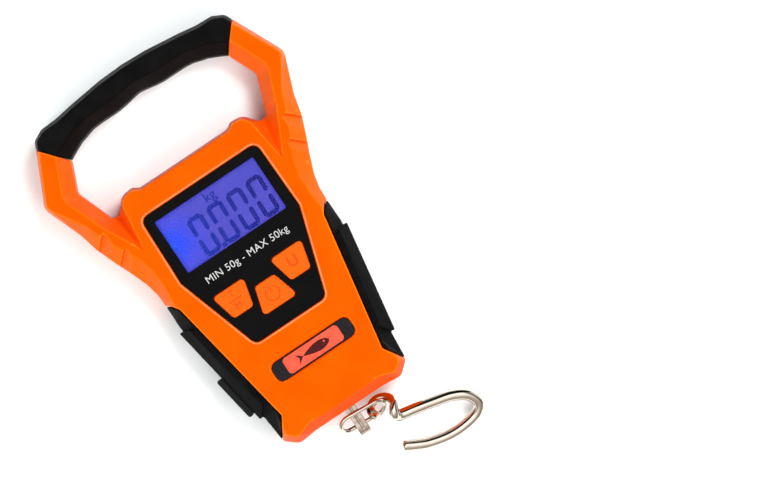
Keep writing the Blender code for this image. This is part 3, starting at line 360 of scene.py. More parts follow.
def lit_lip_orange():
    """The bead round the panel, which is paler than the face as a painted highlight."""
    made, tree, shader = new_material("lit_lip_orange", (0.9, 0.16, 0.04), 0.4, specular=0.3)
    # painted highlight: the whole bead is paler than the face
    paint_by(tree, shader, noise(tree, 6.0, 2.0), (0.3, (0.84, 0.14, 0.03)), (0.7, (0.95, 0.2, 0.06)))
    return made


def key_plastic():
    """The keys' orange: speckled, matt, and paler along the edges with a painted highlight."""
    made, tree, shader = new_material("key_plastic", (0.8, 0.1, 0.01), 0.5, specular=0.12)
    speckle = noise(tree, 0.5, 4.0)
    body = colours(tree, speckle, (0.35, (0.66, 0.074, 0.003)), (0.7, (0.82, 0.102, 0.009)))
    # painted highlight: convex edges are paler
    edge_lit = mix_colours(tree, edge_highlight(tree), body, (0.92, 0.15, 0.025))
    tree.links.new(edge_lit, shader.inputs["Base Color"])
    add_bump(tree, shader, speckle, 0.3, 0.05)
    shader.inputs["Specular Tint"].default_value = WARM_GLOSS
    return made


def shaded_key_mark():
    """The marks pressed into the keys, painted darker than the keys as the shade in their grooves."""
    made, tree, shader = new_material("shaded_key_mark", (0.5, 0.045, 0.003), 0.55, specular=0.1)
    # painted shade: the marks are darker than the keys
    paint_by(tree, shader, noise(tree, 0.5, 3.0), (0.3, (0.44, 0.036, 0.002)), (0.7, (0.56, 0.055, 0.005)))
    return made


def black_rubber():
    """Matt black rubber with a pebbled skin."""
    made, tree, shader = new_material("black_rubber", (0.005, 0.005, 0.005), 0.6, specular=0.04)
    pebbles = tree.nodes.new("ShaderNodeTexVoronoi")
    pebbles.inputs["Scale"].default_value = 1.0 / (0.55 * MM)
    tree.links.new(place(tree), pebbles.inputs["Vector"])
    patchy = noise(tree, 6.0, 4.0)
    paint_by(tree, shader, patchy, (0.3, (0.0018, 0.0018, 0.0018)), (0.75, (0.0045, 0.0044, 0.0044)))
    roughen_by(tree, shader, patchy, 0.3, 0.7, 0.45, 0.6)
    add_bump(tree, shader, pebbles.outputs["Distance"], 0.3, 0.06)
    return made


def black_gloss():
    """Polished black with a faint film of handling on it."""
    made, tree, shader = new_material("black_gloss", (0.001, 0.001, 0.001), 0.12, specular=0.05)
    film = noise(tree, 9.0, 3.0)
    paint_by(tree, shader, film, (0.3, (0.0007, 0.0007, 0.0008)), (0.7, (0.0016, 0.0014, 0.0014)))
    roughen_by(tree, shader, film, 0.3, 0.7, 0.10, 0.2)
    add_bump(tree, shader, noise(tree, 2.5, 1.0), 0.03, 0.1)
    return made


def plate_black():
    """The name plate's ends are finely hammered."""
    made, tree, shader = new_material("plate_black", (0.003, 0.002, 0.003), 0.35, specular=0.15)
    hammered = noise(tree, 0.5, 2.0)
    paint_by(tree, shader, hammered, (0.35, (0.0015, 0.001, 0.0015)), (0.75, (0.013, 0.009, 0.012)))
    add_bump(tree, shader, hammered, 0.5, 0.12)
    return made


def coral_enamel():
    """The name plate's field and the fish's eye."""
    made, tree, shader = new_material("coral_enamel", (0.62, 0.07, 0.035), 0.35, specular=0.15)
    paint_by(tree, shader, noise(tree, 3.0, 3.0), (0.3, (0.56, 0.06, 0.03)), (0.7, (0.66, 0.078, 0.04)))
    return made


def dark_ink():
    """The fish printed on the name plate."""
    made, tree, shader = new_material("dark_ink", (0.04, 0.002, 0.002), 0.4, specular=0.15)
    paint_by(tree, shader, noise(tree, 0.8, 2.0), (0.3, (0.03, 0.001, 0.001)), (0.7, (0.06, 0.003, 0.003)))
    return made


def pale_ink():
    """The words printed under the display."""
    made, tree, shader = new_material("pale_ink", (0.4, 0.4, 0.4), 0.5)
    paint_by(tree, shader, noise(tree, 0.7, 2.0), (0.3, (0.36, 0.36, 0.36)), (0.7, (0.46, 0.46, 0.46)))
    return made


def dark_plastic():
    """Satin black, with a painted highlight that makes its edges paler."""
    made, tree, shader = new_material("dark_plastic", (0.02, 0.02, 0.022), 0.45, specular=0.15)
    grain = noise(tree, 0.6, 3.0)
    # painted highlight: convex edges are paler
    edge_lit = mix_colours(tree, edge_highlight(tree), (0.004, 0.004, 0.0045), (0.02, 0.02, 0.021))
    tree.links.new(edge_lit, shader.inputs["Base Color"])
    roughen_by(tree, shader, grain, 0.3, 0.7, 0.38, 0.52)
    add_bump(tree, shader, grain, 0.2, 0.05)
    return made


def display_rim(tree):
    """0 over the display's view, rising to 0.6 along its four edges."""
    axes = split_axes(tree, place(tree))
    rim = None
    for axis, centre, half in (("X", 0.0, LCD_VIEW[0] / 2), ("Y", LCD_CENTRE_Y, LCD_VIEW[1] / 2)):
        first, last = centre - half, centre + half
        for low, high in ((first, first + LCD_RIM), (last, last - LCD_RIM)):
            dim = spread(tree, axes[axis], low * MM, high * MM, 0.6, 0.0)
            rim = dim if rim is None else maths(tree, "MAXIMUM", rim, dim)
    return rim


def backlit_blue():
    """A backlit display: violet blue, dimmer at its rim, with the lamp's bright spot at its left end."""
    made, tree, shader = new_material("backlit_blue", (0.004, 0.004, 0.02), 0.3, specular=0.05)
    away = tree.nodes.new("ShaderNodeVectorMath")
    away.operation = "DISTANCE"
    away.inputs[1].default_value = (LAMP_X * MM, LCD_CENTRE_Y * MM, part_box("lcd_cell")[1].z)
    tree.links.new(place(tree), away.inputs[0])
    near_lamp = spread(tree, away.outputs["Value"], 0.0, LAMP_REACH * MM, 0.0, 1.0)
    glow = colours(tree, near_lamp, (0.0, (0.008, 0.14, 1.0)), (0.14, (0.010, 0.075, 0.98)),
                   (0.5, (0.055, 0.075, 0.80)), (1.0, (0.080, 0.074, 0.55)))
    patchy = spread(tree, noise(tree, 11.0, 1.0), 0.35, 0.75, 0.0, 0.25)
    mottled = mix_colours(tree, patchy, glow, (0.13, 0.12, 0.66))
    glow_with(tree, shader, mix_colours(tree, display_rim(tree), mottled, (0.022, 0.022, 0.42)))
    return made


def display_ink():
    """Switched-on segments, which hold back most of the backlight, less so near its lamp."""
    made, tree, shader = new_material("display_ink", (0.003, 0.003, 0.015), 0.4, specular=0.05)
    left, right = INK_RAMP_X
    share = spread(tree, split_axes(tree, place(tree))["X"], left * MM, right * MM, 0.0, 1.0)
    shade = colours(tree, share, (0.0, (0.008, 0.03, 0.42)), (1.0, (0.012, 0.008, 0.20)))
    uneven = spread(tree, noise(tree, 2.5, 2.0), 0.35, 0.7, 0.0, 0.3)
    glow_with(tree, shader, mix_colours(tree, uneven, shade, (0.03, 0.03, 0.4)))
    return made


def clear_window():
    """The display's window, with a faint smear; its low index keeps what it mirrors faint."""
    made, tree, shader = new_material("clear_window", (0.97, 0.98, 1.0), 0.02)
    shader.inputs["Transmission Weight"].default_value = 1.0
    shader.inputs["IOR"].default_value = 1.1
    roughen_by(tree, shader, noise(tree, 5.0, 2.0), 0.4, 0.8, 0.0, 0.03)
    return made


def plated_steel():
    """The hook's and link's bright nickel, faintly clouded and scratched."""
    made, tree, shader = new_material("plated_steel", (0.62, 0.54, 0.45), 0.07, 1.0)
    paint_by(tree, shader, noise(tree, 4.0, 3.0), (0.3, (0.64, 0.57, 0.49)), (0.7, (0.73, 0.66, 0.58)))
    scratch = noise(tree, 0.6, 3.0, stretch=(0.15, 1.0, 1.0))
    roughen_by(tree, shader, scratch, 0.35, 0.75, 0.05, 0.14)
    add_bump(tree, shader, noise(tree, 1.6, 1.0), 0.05, 0.1)
    return made


def strap_steel():
    """The folded strap's plating, which is browner and duller than the hook's."""
    made, tree, shader = new_material("strap_steel", (0.42, 0.33, 0.27), 0.2, 1.0)
    paint_by(tree, shader, noise(tree, 2.0, 3.0), (0.3, (0.33, 0.25, 0.20)), (0.7, (0.50, 0.41, 0.34)))
    lines = noise(tree, 0.3, 3.0, stretch=(1.0, 0.12, 1.0))
    roughen_by(tree, shader, lines, 0.3, 0.7, 0.12, 0.28)
    add_bump(tree, shader, lines, 0.2, 0.04)
    return made


def brushed_metal(name, colour, roughness):
    """Plain metal with fine lines along X."""
    made, tree, shader = new_material(name, colour, roughness, 1.0)
    lines = noise(tree, 0.3, 3.0, stretch=(0.1, 1.0, 1.0))
    dark = tuple(c * 0.8 for c in colour)
    paint_by(tree, shader, lines, (0.3, dark), (0.7, colour))
    roughen_by(tree, shader, lines, 0.3, 0.7, roughness - 0.06, roughness + 0.1)
    add_bump(tree, shader, lines, 0.15, 0.03)
    return made


def moulded_white():
    """Plain off-white mouldings inside the case."""
    made, tree, shader = new_material("moulded_white", (0.8, 0.8, 0.78), 0.45)
    paint_by(tree, shader, noise(tree, 5.0, 3.0), (0.3, (0.74, 0.74, 0.71)), (0.7, (0.83, 0.83, 0.81)))
    return made


def circuit_green():
    """Solder mask with paler tracks."""
    made, tree, shader = new_material("circuit_green", (0.02, 0.17, 0.06), 0.35)
    tracks = tree.nodes.new("ShaderNodeTexBrick")
    tracks.inputs["Scale"].default_value = 1.0 / (TRACK_PITCH * MM)
    tracks.inputs["Color1"].default_value = (0.01, 0.12, 0.04, 1.0)
    tracks.inputs["Color2"].default_value = (0.015, 0.15, 0.05, 1.0)
    tracks.inputs["Mortar"].default_value = (0.05, 0.3, 0.1, 1.0)
    tree.links.new(place(tree), tracks.inputs["Vector"])
    tree.links.new(tracks.outputs["Color"], shader.inputs["Base Color"])
    return made


def cell_wrap():
    """A battery's printed film: dark, and copper-coloured towards one end."""
    film = (0.03, 0.03, 0.035)
    made, tree, shader = new_material("cell_wrap", film, 0.3)
    low, high = CELL_ENDS_Y
    share = spread(tree, split_axes(tree, place(tree))["Y"], low * MM, high * MM, 0.0, 1.0)
    paint_by(tree, shader, share, (0.0, film), (0.68, film), (0.72, (0.6, 0.25, 0.1)))
    return made


def tape_paint():
    """Yellow enamel with a tick each millimetre and each centimetre along the pull."""
    paint = (0.85, 0.6, 0.03)
    made, tree, shader = new_material("tape_paint", paint, 0.35)
    along = tree.nodes.new("ShaderNodeVectorMath")
    along.operation = "DOT_PRODUCT"
    along.inputs[1].default_value = Vector((math.cos(FLANK_TILT), math.sin(FLANK_TILT), 0))
    tree.links.new(place(tree), along.inputs[0])
    for pitch, width in TAPE_MARKS:
        phase = maths(tree, "PINGPONG", along.outputs["Value"], pitch / 2 * MM)
        line = maths(tree, "LESS_THAN", phase, width / 2 * MM)
        paint = mix_colours(tree, line, paint, (0.03, 0.03, 0.03))
    tree.links.new(paint, shader.inputs["Base Color"])
    return made


def pale_floor():
    """The light grey ground under the scale."""
    made, tree, shader = new_material("pale_floor", (0.95, 0.96, 0.96), 0.9, specular=0.1)
    paint_by(tree, shader, noise(tree, 300.0, 1.0), (0.3, (0.84, 0.87, 0.875)), (0.7, (0.86, 0.89, 0.895)))
    return made


# the material of each slot in the record, and those of details that share a slot
MATERIAL = {
    "orange_plastic": orange_plastic(),
    "black_rubber": black_rubber(),
    "black_gloss": black_gloss(),
    "dark_plastic": dark_plastic(),
    "clear_plastic": clear_window(),
    "lcd_blue": backlit_blue(),
    "white_plastic": moulded_white(),
    "circuit_board": circuit_green(),
    "bright_steel": plated_steel(),
    "spring_steel": brushed_metal("spring_steel", (0.55, 0.55, 0.55), 0.3),
    "aluminium": brushed_metal("aluminium", (0.74, 0.75, 0.77), 0.34),
    "screw_steel": brushed_metal("screw_steel", (0.36, 0.36, 0.38), 0.3),
    "cell_wrap": cell_wrap(),
    "tape_yellow": tape_paint(),
}
STRAP_STEEL = strap_steel()
LIT_LIP_ORANGE = lit_lip_orange()
KEY_PLASTIC = key_plastic()
SHADED_KEY_MARK = shaded_key_mark()
PLATE_BLACK = plate_black()
CORAL = coral_enamel()
DARK_INK = dark_ink()
PALE_INK = pale_ink()
DISPLAY_INK = display_ink()


def paint_cad_nodes():
    """Each node that the CAD model shows takes the procedural material of its slot."""
    for row in frame["record"]["subparts"]:
        for mesh_slot in NODES[row["node"]].material_slots:
            mesh_slot.material = MATERIAL[row["material_slot"]]


# ---- mesh helpers --------------------------------------------------------------------------------
def in_scene(name, data):
    """A new object, linked into the scene."""
    made = bpy.data.objects.new(name, data)
    bpy.context.scene.collection.objects.link(made)
    return made


def add_piece(name, mesh, paint, body, replaced=()):
    """A visible piece that rides on a body, and the CAD nodes it stands in for."""
    piece = in_scene(name, mesh)
    mesh.materials.clear()
    mesh.materials.append(paint)
    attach(piece, body)
    if replaced:
        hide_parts(*replaced)
    return piece


def mesh_from(name, bm, sharp_degrees=40):
    """A smooth-shaded mesh in metres from a bmesh in millimetres, with edges past an angle kept sharp."""
    bmesh.ops.scale(bm, vec=(MM, MM, MM), verts=bm.verts)
    bmesh.ops.recalc_face_normals(bm, faces=bm.faces)
    mesh = bpy.data.meshes.new(name)
    bm.to_mesh(mesh)
    bm.free()
    mesh.shade_smooth()
    mesh.set_sharp_from_angle(angle=math.radians(sharp_degrees))
    return mesh


def apply_modifiers(holder):
    """The mesh that an object's modifiers give, and the object removed."""
    view = bpy.context.evaluated_depsgraph_get()
    mesh = bpy.data.meshes.new_from_object(holder.evaluated_get(view))
    bpy.data.objects.remove(holder)
    return mesh


def softened(node, voxel_mm, passes, keep=1.0, shape=None):
    """A CAD node's mesh with its edges rounded as moulding rounds them."""
    bm = bmesh.new()
    bm.from_mesh(NODES[node].data)
    bmesh.ops.remove_doubles(bm, verts=bm.verts, dist=0.002 * MM)
    mesh = bpy.data.meshes.new(f"{node}_soft")
    bm.to_mesh(mesh)
    bm.free()
    holder = in_scene(f"{node}_holder", mesh)
    skin = holder.modifiers.new("skin", "REMESH")
    skin.mode = "VOXEL"
    skin.voxel_size = voxel_mm * MM
    rounding = holder.modifiers.new("rounding", "SMOOTH")
    rounding.factor = 0.5
    rounding.iterations = passes
    if keep < 1.0:
        thin = holder.modifiers.new("thin", "DECIMATE")
        thin.ratio = keep
    soft = apply_modifiers(holder)
    if shape:
        for vertex in soft.vertices:
            vertex.co = shape(vertex.co / MM) * MM
    soft.shade_smooth()
    return soft


def soften_node(node, paint, voxel_mm, passes, body="case", keep=1.0, shape=None):
    """The softened mesh of a CAD node, as the piece that stands in for it."""
    mesh = softened(node, voxel_mm, passes, keep, shape)
    return add_piece(f"{node}_skin", mesh, paint, body, [node])


def join_rings(bm, lower, upper):
    """A band of faces between two rings with the same number of corners."""
    for side in range(len(lower)):
        after = (side + 1) % len(lower)
        bm.faces.new((lower[side], lower[after], upper[after], upper[side]))


def tube_mesh(name, path, radii, sides=28, closed=False):
    """A wire along path; its ring of points is carried from one station to the next untwisted."""
    bm = bmesh.new()
    count = len(path)
    rings = []
    normal = None
    for index, point in enumerate(path):
        before = path[index - 1] if closed or index else path[0]
        after = path[(index + 1) % count] if closed or index < count - 1 else path[-1]
        tangent = (after - before).normalized()
        if normal is None:
            normal = tangent.orthogonal().normalized()
        normal = (normal - tangent * normal.dot(tangent)).normalized()
        binormal = tangent.cross(normal)
        ring = []
        for side in range(sides):
            angle = 2 * math.pi * side / sides
            spoke = normal * math.cos(angle) + binormal * math.sin(angle)
            ring.append(bm.verts.new(point + spoke * radii[index]))
        rings.append(ring)
    for lower, upper in zip(rings, rings[1:]):
        join_rings(bm, lower, upper)
    if closed:
        loops = []
        for ring in (rings[-1], rings[0]):
            loops += [bm.edges.get((ring[side - 1], ring[side])) for side in range(sides)]
        bmesh.ops.bridge_loops(bm, edges=loops)
    else:
        bm.faces.new(rings[0])
        bm.faces.new(rings[-1])
    return mesh_from(name, bm, 60)


def smooth_path(points, per_span):
    """A Catmull-Rom curve through points."""
    path = []
    for index in range(len(points) - 1):
        p0 = points[max(index - 1, 0)]
        p1 = points[index]
        p2 = points[index + 1]
        p3 = points[min(index + 2, len(points) - 1)]
        for step in range(per_span):
            t = step / per_span
            path.append(
                0.5 * (2 * p1 + (p2 - p0) * t
                       + (2 * p0 - 5 * p1 + 4 * p2 - p3) * t ** 2
                       + (3 * p1 - p0 - 3 * p2 + p3) * t ** 3)
            )
    path.append(points[-1])
    return path


def flat_shape(name, outlines, low, high):
    """Closed outlines in the XY plane, each raised from low to high."""
    bm = bmesh.new()
    for outline in outlines:
        foot = bm.faces.new([bm.verts.new((x, y, low)) for x, y in outline])
        raised = bmesh.ops.extrude_face_region(bm, geom=[foot])["geom"]
        corners = [item for item in raised if isinstance(item, bmesh.types.BMVert)]
        bmesh.ops.translate(bm, vec=(0, 0, high - low), verts=corners)
    return mesh_from(name, bm, 30)


def rectangle(centre, half_x, half_y):
    """Its four corners, anticlockwise."""
    x, y = centre
    return [(x - half_x, y - half_y), (x + half_x, y - half_y),
            (x + half_x, y + half_y), (x - half_x, y + half_y)]


def rounded_rectangle(half_x, half_y, radius, centre, steps=8):
    """Its outline, anticlockwise, with each corner drawn as a quarter circle."""
    points = []
    for quarter, (sx, sy) in enumerate(((1, 1), (-1, 1), (-1, -1), (1, -1))):
        for step in range(steps + 1):
            angle = math.pi / 2 * (quarter + step / steps)
            points.append((centre[0] + sx * (half_x - radius) + radius * math.cos(angle),
                           centre[1] + sy * (half_y - radius) + radius * math.sin(angle)))
    return points


def lettering(name, words, height, centre, low, thick, spacing=1.0, bolder=0.0):
    """Plain sans lettering as a mesh, centred on a point; its capitals are height tall."""
    curve = bpy.data.curves.new(name, "FONT")
    curve.body = words
    curve.align_x = "CENTER"
    curve.align_y = "CENTER"
    curve.size = height / CAP_SHARE * MM
    curve.space_character = spacing
    curve.offset = bolder * MM
    curve.extrude = thick / 2 * MM
    curve.resolution_u = 6
    mesh = apply_modifiers(in_scene(f"{name}_holder", curve))
    mesh.transform(Matrix.Translation(Vector((centre[0], centre[1], low + thick / 2)) * MM))
    return mesh


# ---- case, grip and pads -------------------------------------------------------------------------
def finger_grooves(point):
    """Shallow waves along the inner side of the grip, which fade towards its ends and its outer side."""
    near_inner = min(max((GRIP_INNER_Y - point.y) / GROOVE_FADE, 0.0), 1.0)
    fade = min(max((GROOVE_HALF_SPAN - abs(point.x)) / GROOVE_FADE, 0.0), 1.0)
    wave = GROOVE_DEPTH * math.cos(2 * math.pi * point.x / GROOVE_PITCH)
    return Vector((point.x, point.y + wave * near_inner * fade, point.z))


def build_case():
    """The shells, door, grip, pads and tape tab, with moulded edges."""
    orange = MATERIAL["orange_plastic"]
    rubber = MATERIAL["black_rubber"]
    soften_node("front_shell", orange, voxel_mm=0.42, passes=3, keep=0.4)
    soften_node("rear_shell", orange, voxel_mm=0.6, passes=4, keep=0.4)
    soften_node("battery_door", orange, voxel_mm=0.35, passes=4, keep=0.5)
    for node in ("grip_front", "grip_rear"):
        soften_node(node, rubber, voxel_mm=0.5, passes=6, keep=0.6, shape=finger_grooves)
    for node in ("left_pad", "right_pad"):
        soften_node(node, rubber, voxel_mm=0.4, passes=4, keep=0.6)
    soften_node("tape_tab", MATERIAL["dark_plastic"], voxel_mm=0.25, passes=2, body="tape")


# ---- display -------------------------------------------------------------------------------------
def segment(x, y, length, upright):
    """One bar of a digit: a hexagon that tapers to both ends."""
    half = SEGMENT / 2
    bar = [(-length / 2, 0), (-length / 2 + SEGMENT_TIP, half), (length / 2 - SEGMENT_TIP, half),
           (length / 2, 0), (length / 2 - SEGMENT_TIP, -half), (-length / 2 + SEGMENT_TIP, -half)]
    if upright:
        bar = [(-down, along) for along, down in bar]
    middle_y = DIGIT_FOOT_Y + DIGIT_HEIGHT / 2
    return [(x + right + DIGIT_LEAN * (y + up - middle_y), y + up) for right, up in bar]


def zero_digit(left):
    """The six bars of a 0, which leave the middle bar out."""
    reach = DIGIT_HEIGHT / 2
    inset = SEGMENT / 2
    middle = left + DIGIT_WIDTH / 2
    bars = []
    for row in (0, 1):
        y = DIGIT_FOOT_Y + reach * (row + 0.5)
        for x in (left + inset, left + DIGIT_WIDTH - inset):
            bars.append(segment(x, y, reach - inset - 2 * SEGMENT_GAP, True))
    for y in (DIGIT_FOOT_Y + inset, DIGIT_FOOT_Y + DIGIT_HEIGHT - inset):
        bars.append(segment(middle, y, DIGIT_WIDTH - SEGMENT - 2 * SEGMENT_GAP + SEGMENT * 0.5, False))
    return bars


def build_display():
    """0.000 kg in segments on the display, and the range of the scale printed under it."""
    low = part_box("lcd_cell")[1].z / MM + INK_LIFT
    bars = []
    for index in range(DIGITS):
        bars += zero_digit(DIGIT_LEFT + index * DIGIT_PITCH)
    half_dot = SEGMENT * 0.5
    point_x = DIGIT_LEFT + DIGIT_WIDTH + (DIGIT_PITCH - DIGIT_WIDTH) / 2
    bars.append(rectangle((point_x, DIGIT_FOOT_Y + half_dot), half_dot, half_dot))
    digits = flat_shape("lcd_digits", bars, low, low + INK_THICK)
    add_piece("lcd_digits", digits, DISPLAY_INK, "case")
    unit = lettering("lcd_unit", "kg", UNIT_HEIGHT, UNIT_CENTRE, low, INK_THICK, WIDER_SPACING, UNIT_BOLDER)
    add_piece("lcd_unit", unit, DISPLAY_INK, "case")
    panel_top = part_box("display_panel")[1].z / MM
    words = lettering("range_words", "MIN 50g - MAX 50kg", RANGE_HEIGHT, RANGE_CENTRE, panel_top,
                      RANGE_THICK, WIDER_SPACING)
    add_piece("range_words", words, PALE_INK, "case")


# ---- keys ----------------------------------------------------------------------------------------
def add_mark(name, mesh, key):
    """A mark that rides on a key."""
    # the marks' darker colour is painted shade
    add_piece(name, mesh, SHADED_KEY_MARK, f"{key}_key")


def mark_side_keys(low):
    """T over M on the left key, with a bar between them, and U on the right key."""
    letters = [("tare_mark_upper", "T", 2.3, (-SIDE_KEY_X, SIDE_KEY_Y + 2.7), "tare"),
               ("tare_mark_lower", "M", 2.5, (-SIDE_KEY_X, SIDE_KEY_Y - 2.5), "tare"),
               ("unit_mark", "U", 4.6, (SIDE_KEY_X, SIDE_KEY_Y + 0.2), "unit")]
    for name, letter, height, centre, key in letters:
        add_mark(name, lettering(name, letter, height, centre, low, MARK_THICK), key)
    bar = rectangle((-SIDE_KEY_X, SIDE_KEY_Y + MODE_BAR_RISE), *MODE_BAR_HALF)
    add_mark("tare_mark_bar", flat_shape("tare_mark_bar", [bar], low, low + MARK_THICK), "tare")


def mark_power_key(low):
    """The usual sign for power: an open ring and an upright stroke."""
    ring = []
    for step in range(POWER_RING_STEPS + 1):
        angle = math.radians(POWER_RING_START + POWER_RING_TURN * step / POWER_RING_STEPS)
        ring.append(Vector((POWER_RING_RADIUS * math.cos(angle),
                            POWER_KEY_Y - POWER_RING_DROP + POWER_RING_RADIUS * math.sin(angle), low)))
    stroke = [Vector((0, POWER_KEY_Y + rise, low)) for rise in POWER_STROKE_RISES]
    for name, path in (("power_mark_ring", ring), ("power_mark_stroke", stroke)):
        add_mark(name, tube_mesh(name, path, [POWER_WIRE] * len(path), MARK_SIDES), "power")


def build_keys():
    """The three keys and the marks that are sunk into their tops."""
    for name in ("tare", "power", "unit"):
        soften_node(f"{name}_button", KEY_PLASTIC, voxel_mm=0.2, passes=5,
                    body=f"{name}_key")
    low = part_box("power_button")[1].z / MM - MARK_SUNK
    mark_side_keys(low)
    mark_power_key(low)


# ---- name plate ----------------------------------------------------------------------------------
def fish_outline(length, height, centre):
    """A plain fish: a pointed oval body that narrows to a forked tail."""
    steps = 22
    fullness = 0.8                   # below 1, the body is blunter and widest nearer its nose
    narrowing = 0.35
    body_share = 0.82
    body = []
    for step in range(steps + 1):
        share = step / steps
        half = height / 2 * math.sin(math.pi * share ** fullness) ** fullness * (1 - narrowing * share)
        body.append((length * (0.5 - body_share * share), half))
    tail_tip = (-length * 0.5, height * 0.46)
    tail_notch = (-length * 0.43, 0)
    upper = body + [tail_tip, tail_notch]
    lower = [(x, -y) for x, y in reversed(upper[1:-1])]
    return [(centre[0] + x, centre[1] + y) for x, y in upper + lower]


def print_on_plate(name, outline, layer, top, paint):
    """One flat layer of print on the name plate."""
    shape = flat_shape(name, [outline], top + layer[0], top + layer[1])
    add_piece(name, shape, paint, "case")


def build_name_plate():
    """A coral field with a dark fish on it, between the plate's hammered ends."""
    low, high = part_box("name_plate")
    centre = ((low.x + high.x) / 2 / MM, (low.y + high.y) / 2 / MM)
    top = high.z / MM
    NODES["name_plate"].material_slots[0].material = PLATE_BLACK
    field = rounded_rectangle(*FIELD_HALF, FIELD_CORNER, centre)
    print_on_plate("plate_field", field, FIELD_LAYER, top, CORAL)
    print_on_plate("plate_fish", fish_outline(*FISH_SIZE, centre), FISH_LAYER, top, DARK_INK)
    eye_centre = (centre[0] + FISH_EYE_PLACE[0], centre[1] + FISH_EYE_PLACE[1])
    eye = rounded_rectangle(FISH_EYE_HALF, FISH_EYE_HALF, FISH_EYE_CORNER, eye_centre)
    print_on_plate("plate_fish_eye", eye, FISH_EYE_LAYER, top, CORAL)


# ---- bead round the display panel ----------------------------------------------------------------
def outline_of(node):
    """The corners, in order, of a convex node seen from above, in millimetres."""
    corners = sorted({(round(v.co.x / MM, 3), round(v.co.y / MM, 3)) for v in NODES[node].data.vertices})
    chains = []
    for ordered in (corners, corners[::-1]):
        chain = []
        for point in ordered:
            while len(chain) > 1:
                (ax, ay), (bx, by) = chain[-2:]
                if (bx - ax) * (point[1] - ay) - (by - ay) * (point[0] - ax) > 0:
                    break
                chain.pop()
            chain.append(point)
        chains += chain[:-1]
    return chains


def offset_outline(corners, middle, distance):
    """Each corner moved outwards along the bisector of its two sides."""
    moved = []
    for index, corner in enumerate(corners):
        ahead = (corners[(index + 1) % len(corners)] - corner).normalized()
        behind = (corner - corners[index - 1]).normalized()
        out = (Vector((ahead.y, -ahead.x, 0)) + Vector((behind.y, -behind.x, 0))).normalized()
        if out.dot(corner - middle) < 0:
            out = -out
        moved.append(corner + out * distance)
    return moved


def build_panel_lip():
    """A thin raised bead of the front shell all round the black panel."""
    low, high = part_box("display_panel")
    middle = Vector(((low.x + high.x) / 2 / MM, (low.y + high.y) / 2 / MM, 0))
    corners = [Vector((x, y, 0)) for x, y in outline_of("display_panel")]
    loop = [corner + Vector((0, 0, LIP_Z)) for corner in offset_outline(corners, middle, LIP_OFFSET)]
    path = []
    for index, point in enumerate(loop):
        following = loop[(index + 1) % len(loop)]
        pieces = max(1, int((following - point).length / LIP_STEP))
        path += [point.lerp(following, step / pieces) for step in range(pieces)]
    lip = tube_mesh("panel_lip", path, [LIP_RADIUS] * len(path), LIP_SIDES, closed=True)
    # the bead's paler colour is a painted highlight
    add_piece("panel_lip", lip, LIT_LIP_ORANGE, "case")


# ---- hook group ----------------------------------------------------------------------------------
def link_path():
    """The link's centreline: two straights joined by two half circles."""
    across = Vector((0, math.cos(LINK_TILT), math.sin(LINK_TILT)))
    across = (across - LINK_ALONG * across.dot(LINK_ALONG)).normalized()
    path = []
    for end in (1, -1):
        for step in range(LINK_TURN_STEPS + 1):
            angle = math.pi * step / LINK_TURN_STEPS
            reach = LINK_HALF_STRAIGHT + LINK_HALF_WIDTH * math.sin(angle)
            sideways = LINK_HALF_WIDTH * math.cos(angle)
            path.append(LINK_CENTRE + end * (LINK_ALONG * reach + across * sideways))
    return path


def hook_axes():
    """The hook lies in its own plane: u along its shank, v across it, w out of the plane."""
    u = Vector((math.cos(EYE_YAW), math.sin(EYE_YAW), 0))
    w = Vector((math.sin(EYE_YAW) * math.sin(HOOK_TILT), -math.cos(EYE_YAW) * math.sin(HOOK_TILT),
                math.cos(HOOK_TILT)))
    return u, w.cross(u), w


def eased(path, first, last, passes):
    """The same path with the stretch between two of its points relaxed into a gentler curve."""
    for _ in range(passes):
        middle = [(path[i - 1] + path[i] * 2 + path[i + 1]) / 4 for i in range(first, last)]
        path = path[:first] + middle + path[last:]
    return path


def eye_arc(u, up):
    """The eye's centreline, from its cut end to where the neck leaves it."""
    arc = []
    for step in range(EYE_STEPS + 1):
        angle = EYE_START + (EYE_END - EYE_START) * step / EYE_STEPS
        arc.append(EYE_CENTRE + EYE_RADIUS * (u * math.cos(angle) - up * math.sin(angle)))
    return arc


def shank_points(w):
    """Points from the neck's bend along the shank to the tip, lifted from plan onto the hook's plane."""
    points = []
    for x, y in [HOOK_BEND_PLAN] + HOOK_SHANK_PLAN:
        height = -(w.x * (x - EYE_CENTRE.x) + w.y * (y - EYE_CENTRE.y)) / w.z
        points.append(Vector((x, y, EYE_CENTRE.z + height)))
    points[0] += w * HOOK_BEND_RISE
    return points


def rounded_tip(path, radius):
    """Stations and radii that close the bar's end with a blunt dome."""
    onward = (path[-1] - path[-2]).normalized()
    stations, radii = [], []
    for step in range(1, TIP_STEPS + 1):
        angle = math.pi / 2 * step / (TIP_STEPS + 1)
        stations.append(path[-1] + onward * TIP_LENGTH * math.sin(angle))
        radii.append(radius * (TIP_SHARE + (1 - TIP_SHARE) * math.cos(angle)))
    return stations, radii


def hook_path():
    """Centreline and radii from the eye's cut end, round the eye, along the shank to the tip."""
    u, v, w = hook_axes()
    eye = eye_arc(u, w * math.cos(EYE_TWIST) - v * math.sin(EYE_TWIST))
    path = eye[:-1] + smooth_path([eye[-1]] + shank_points(w), SHANK_STEPS)
    path = eased(path, EYE_STEPS - NECK_BEFORE, EYE_STEPS + NECK_AFTER, NECK_EASING)
    radii = []
    for index in range(len(path)):
        grow = min(max((index - EYE_STEPS) / WIRE_GROWTH_STEPS, 0), 1)
        radii.append((EYE_WIRE + (HOOK_WIRE - EYE_WIRE) * grow) / 2)
    tip, tip_radii = rounded_tip(path, HOOK_WIRE / 2)
    return path + tip, radii + tip_radii


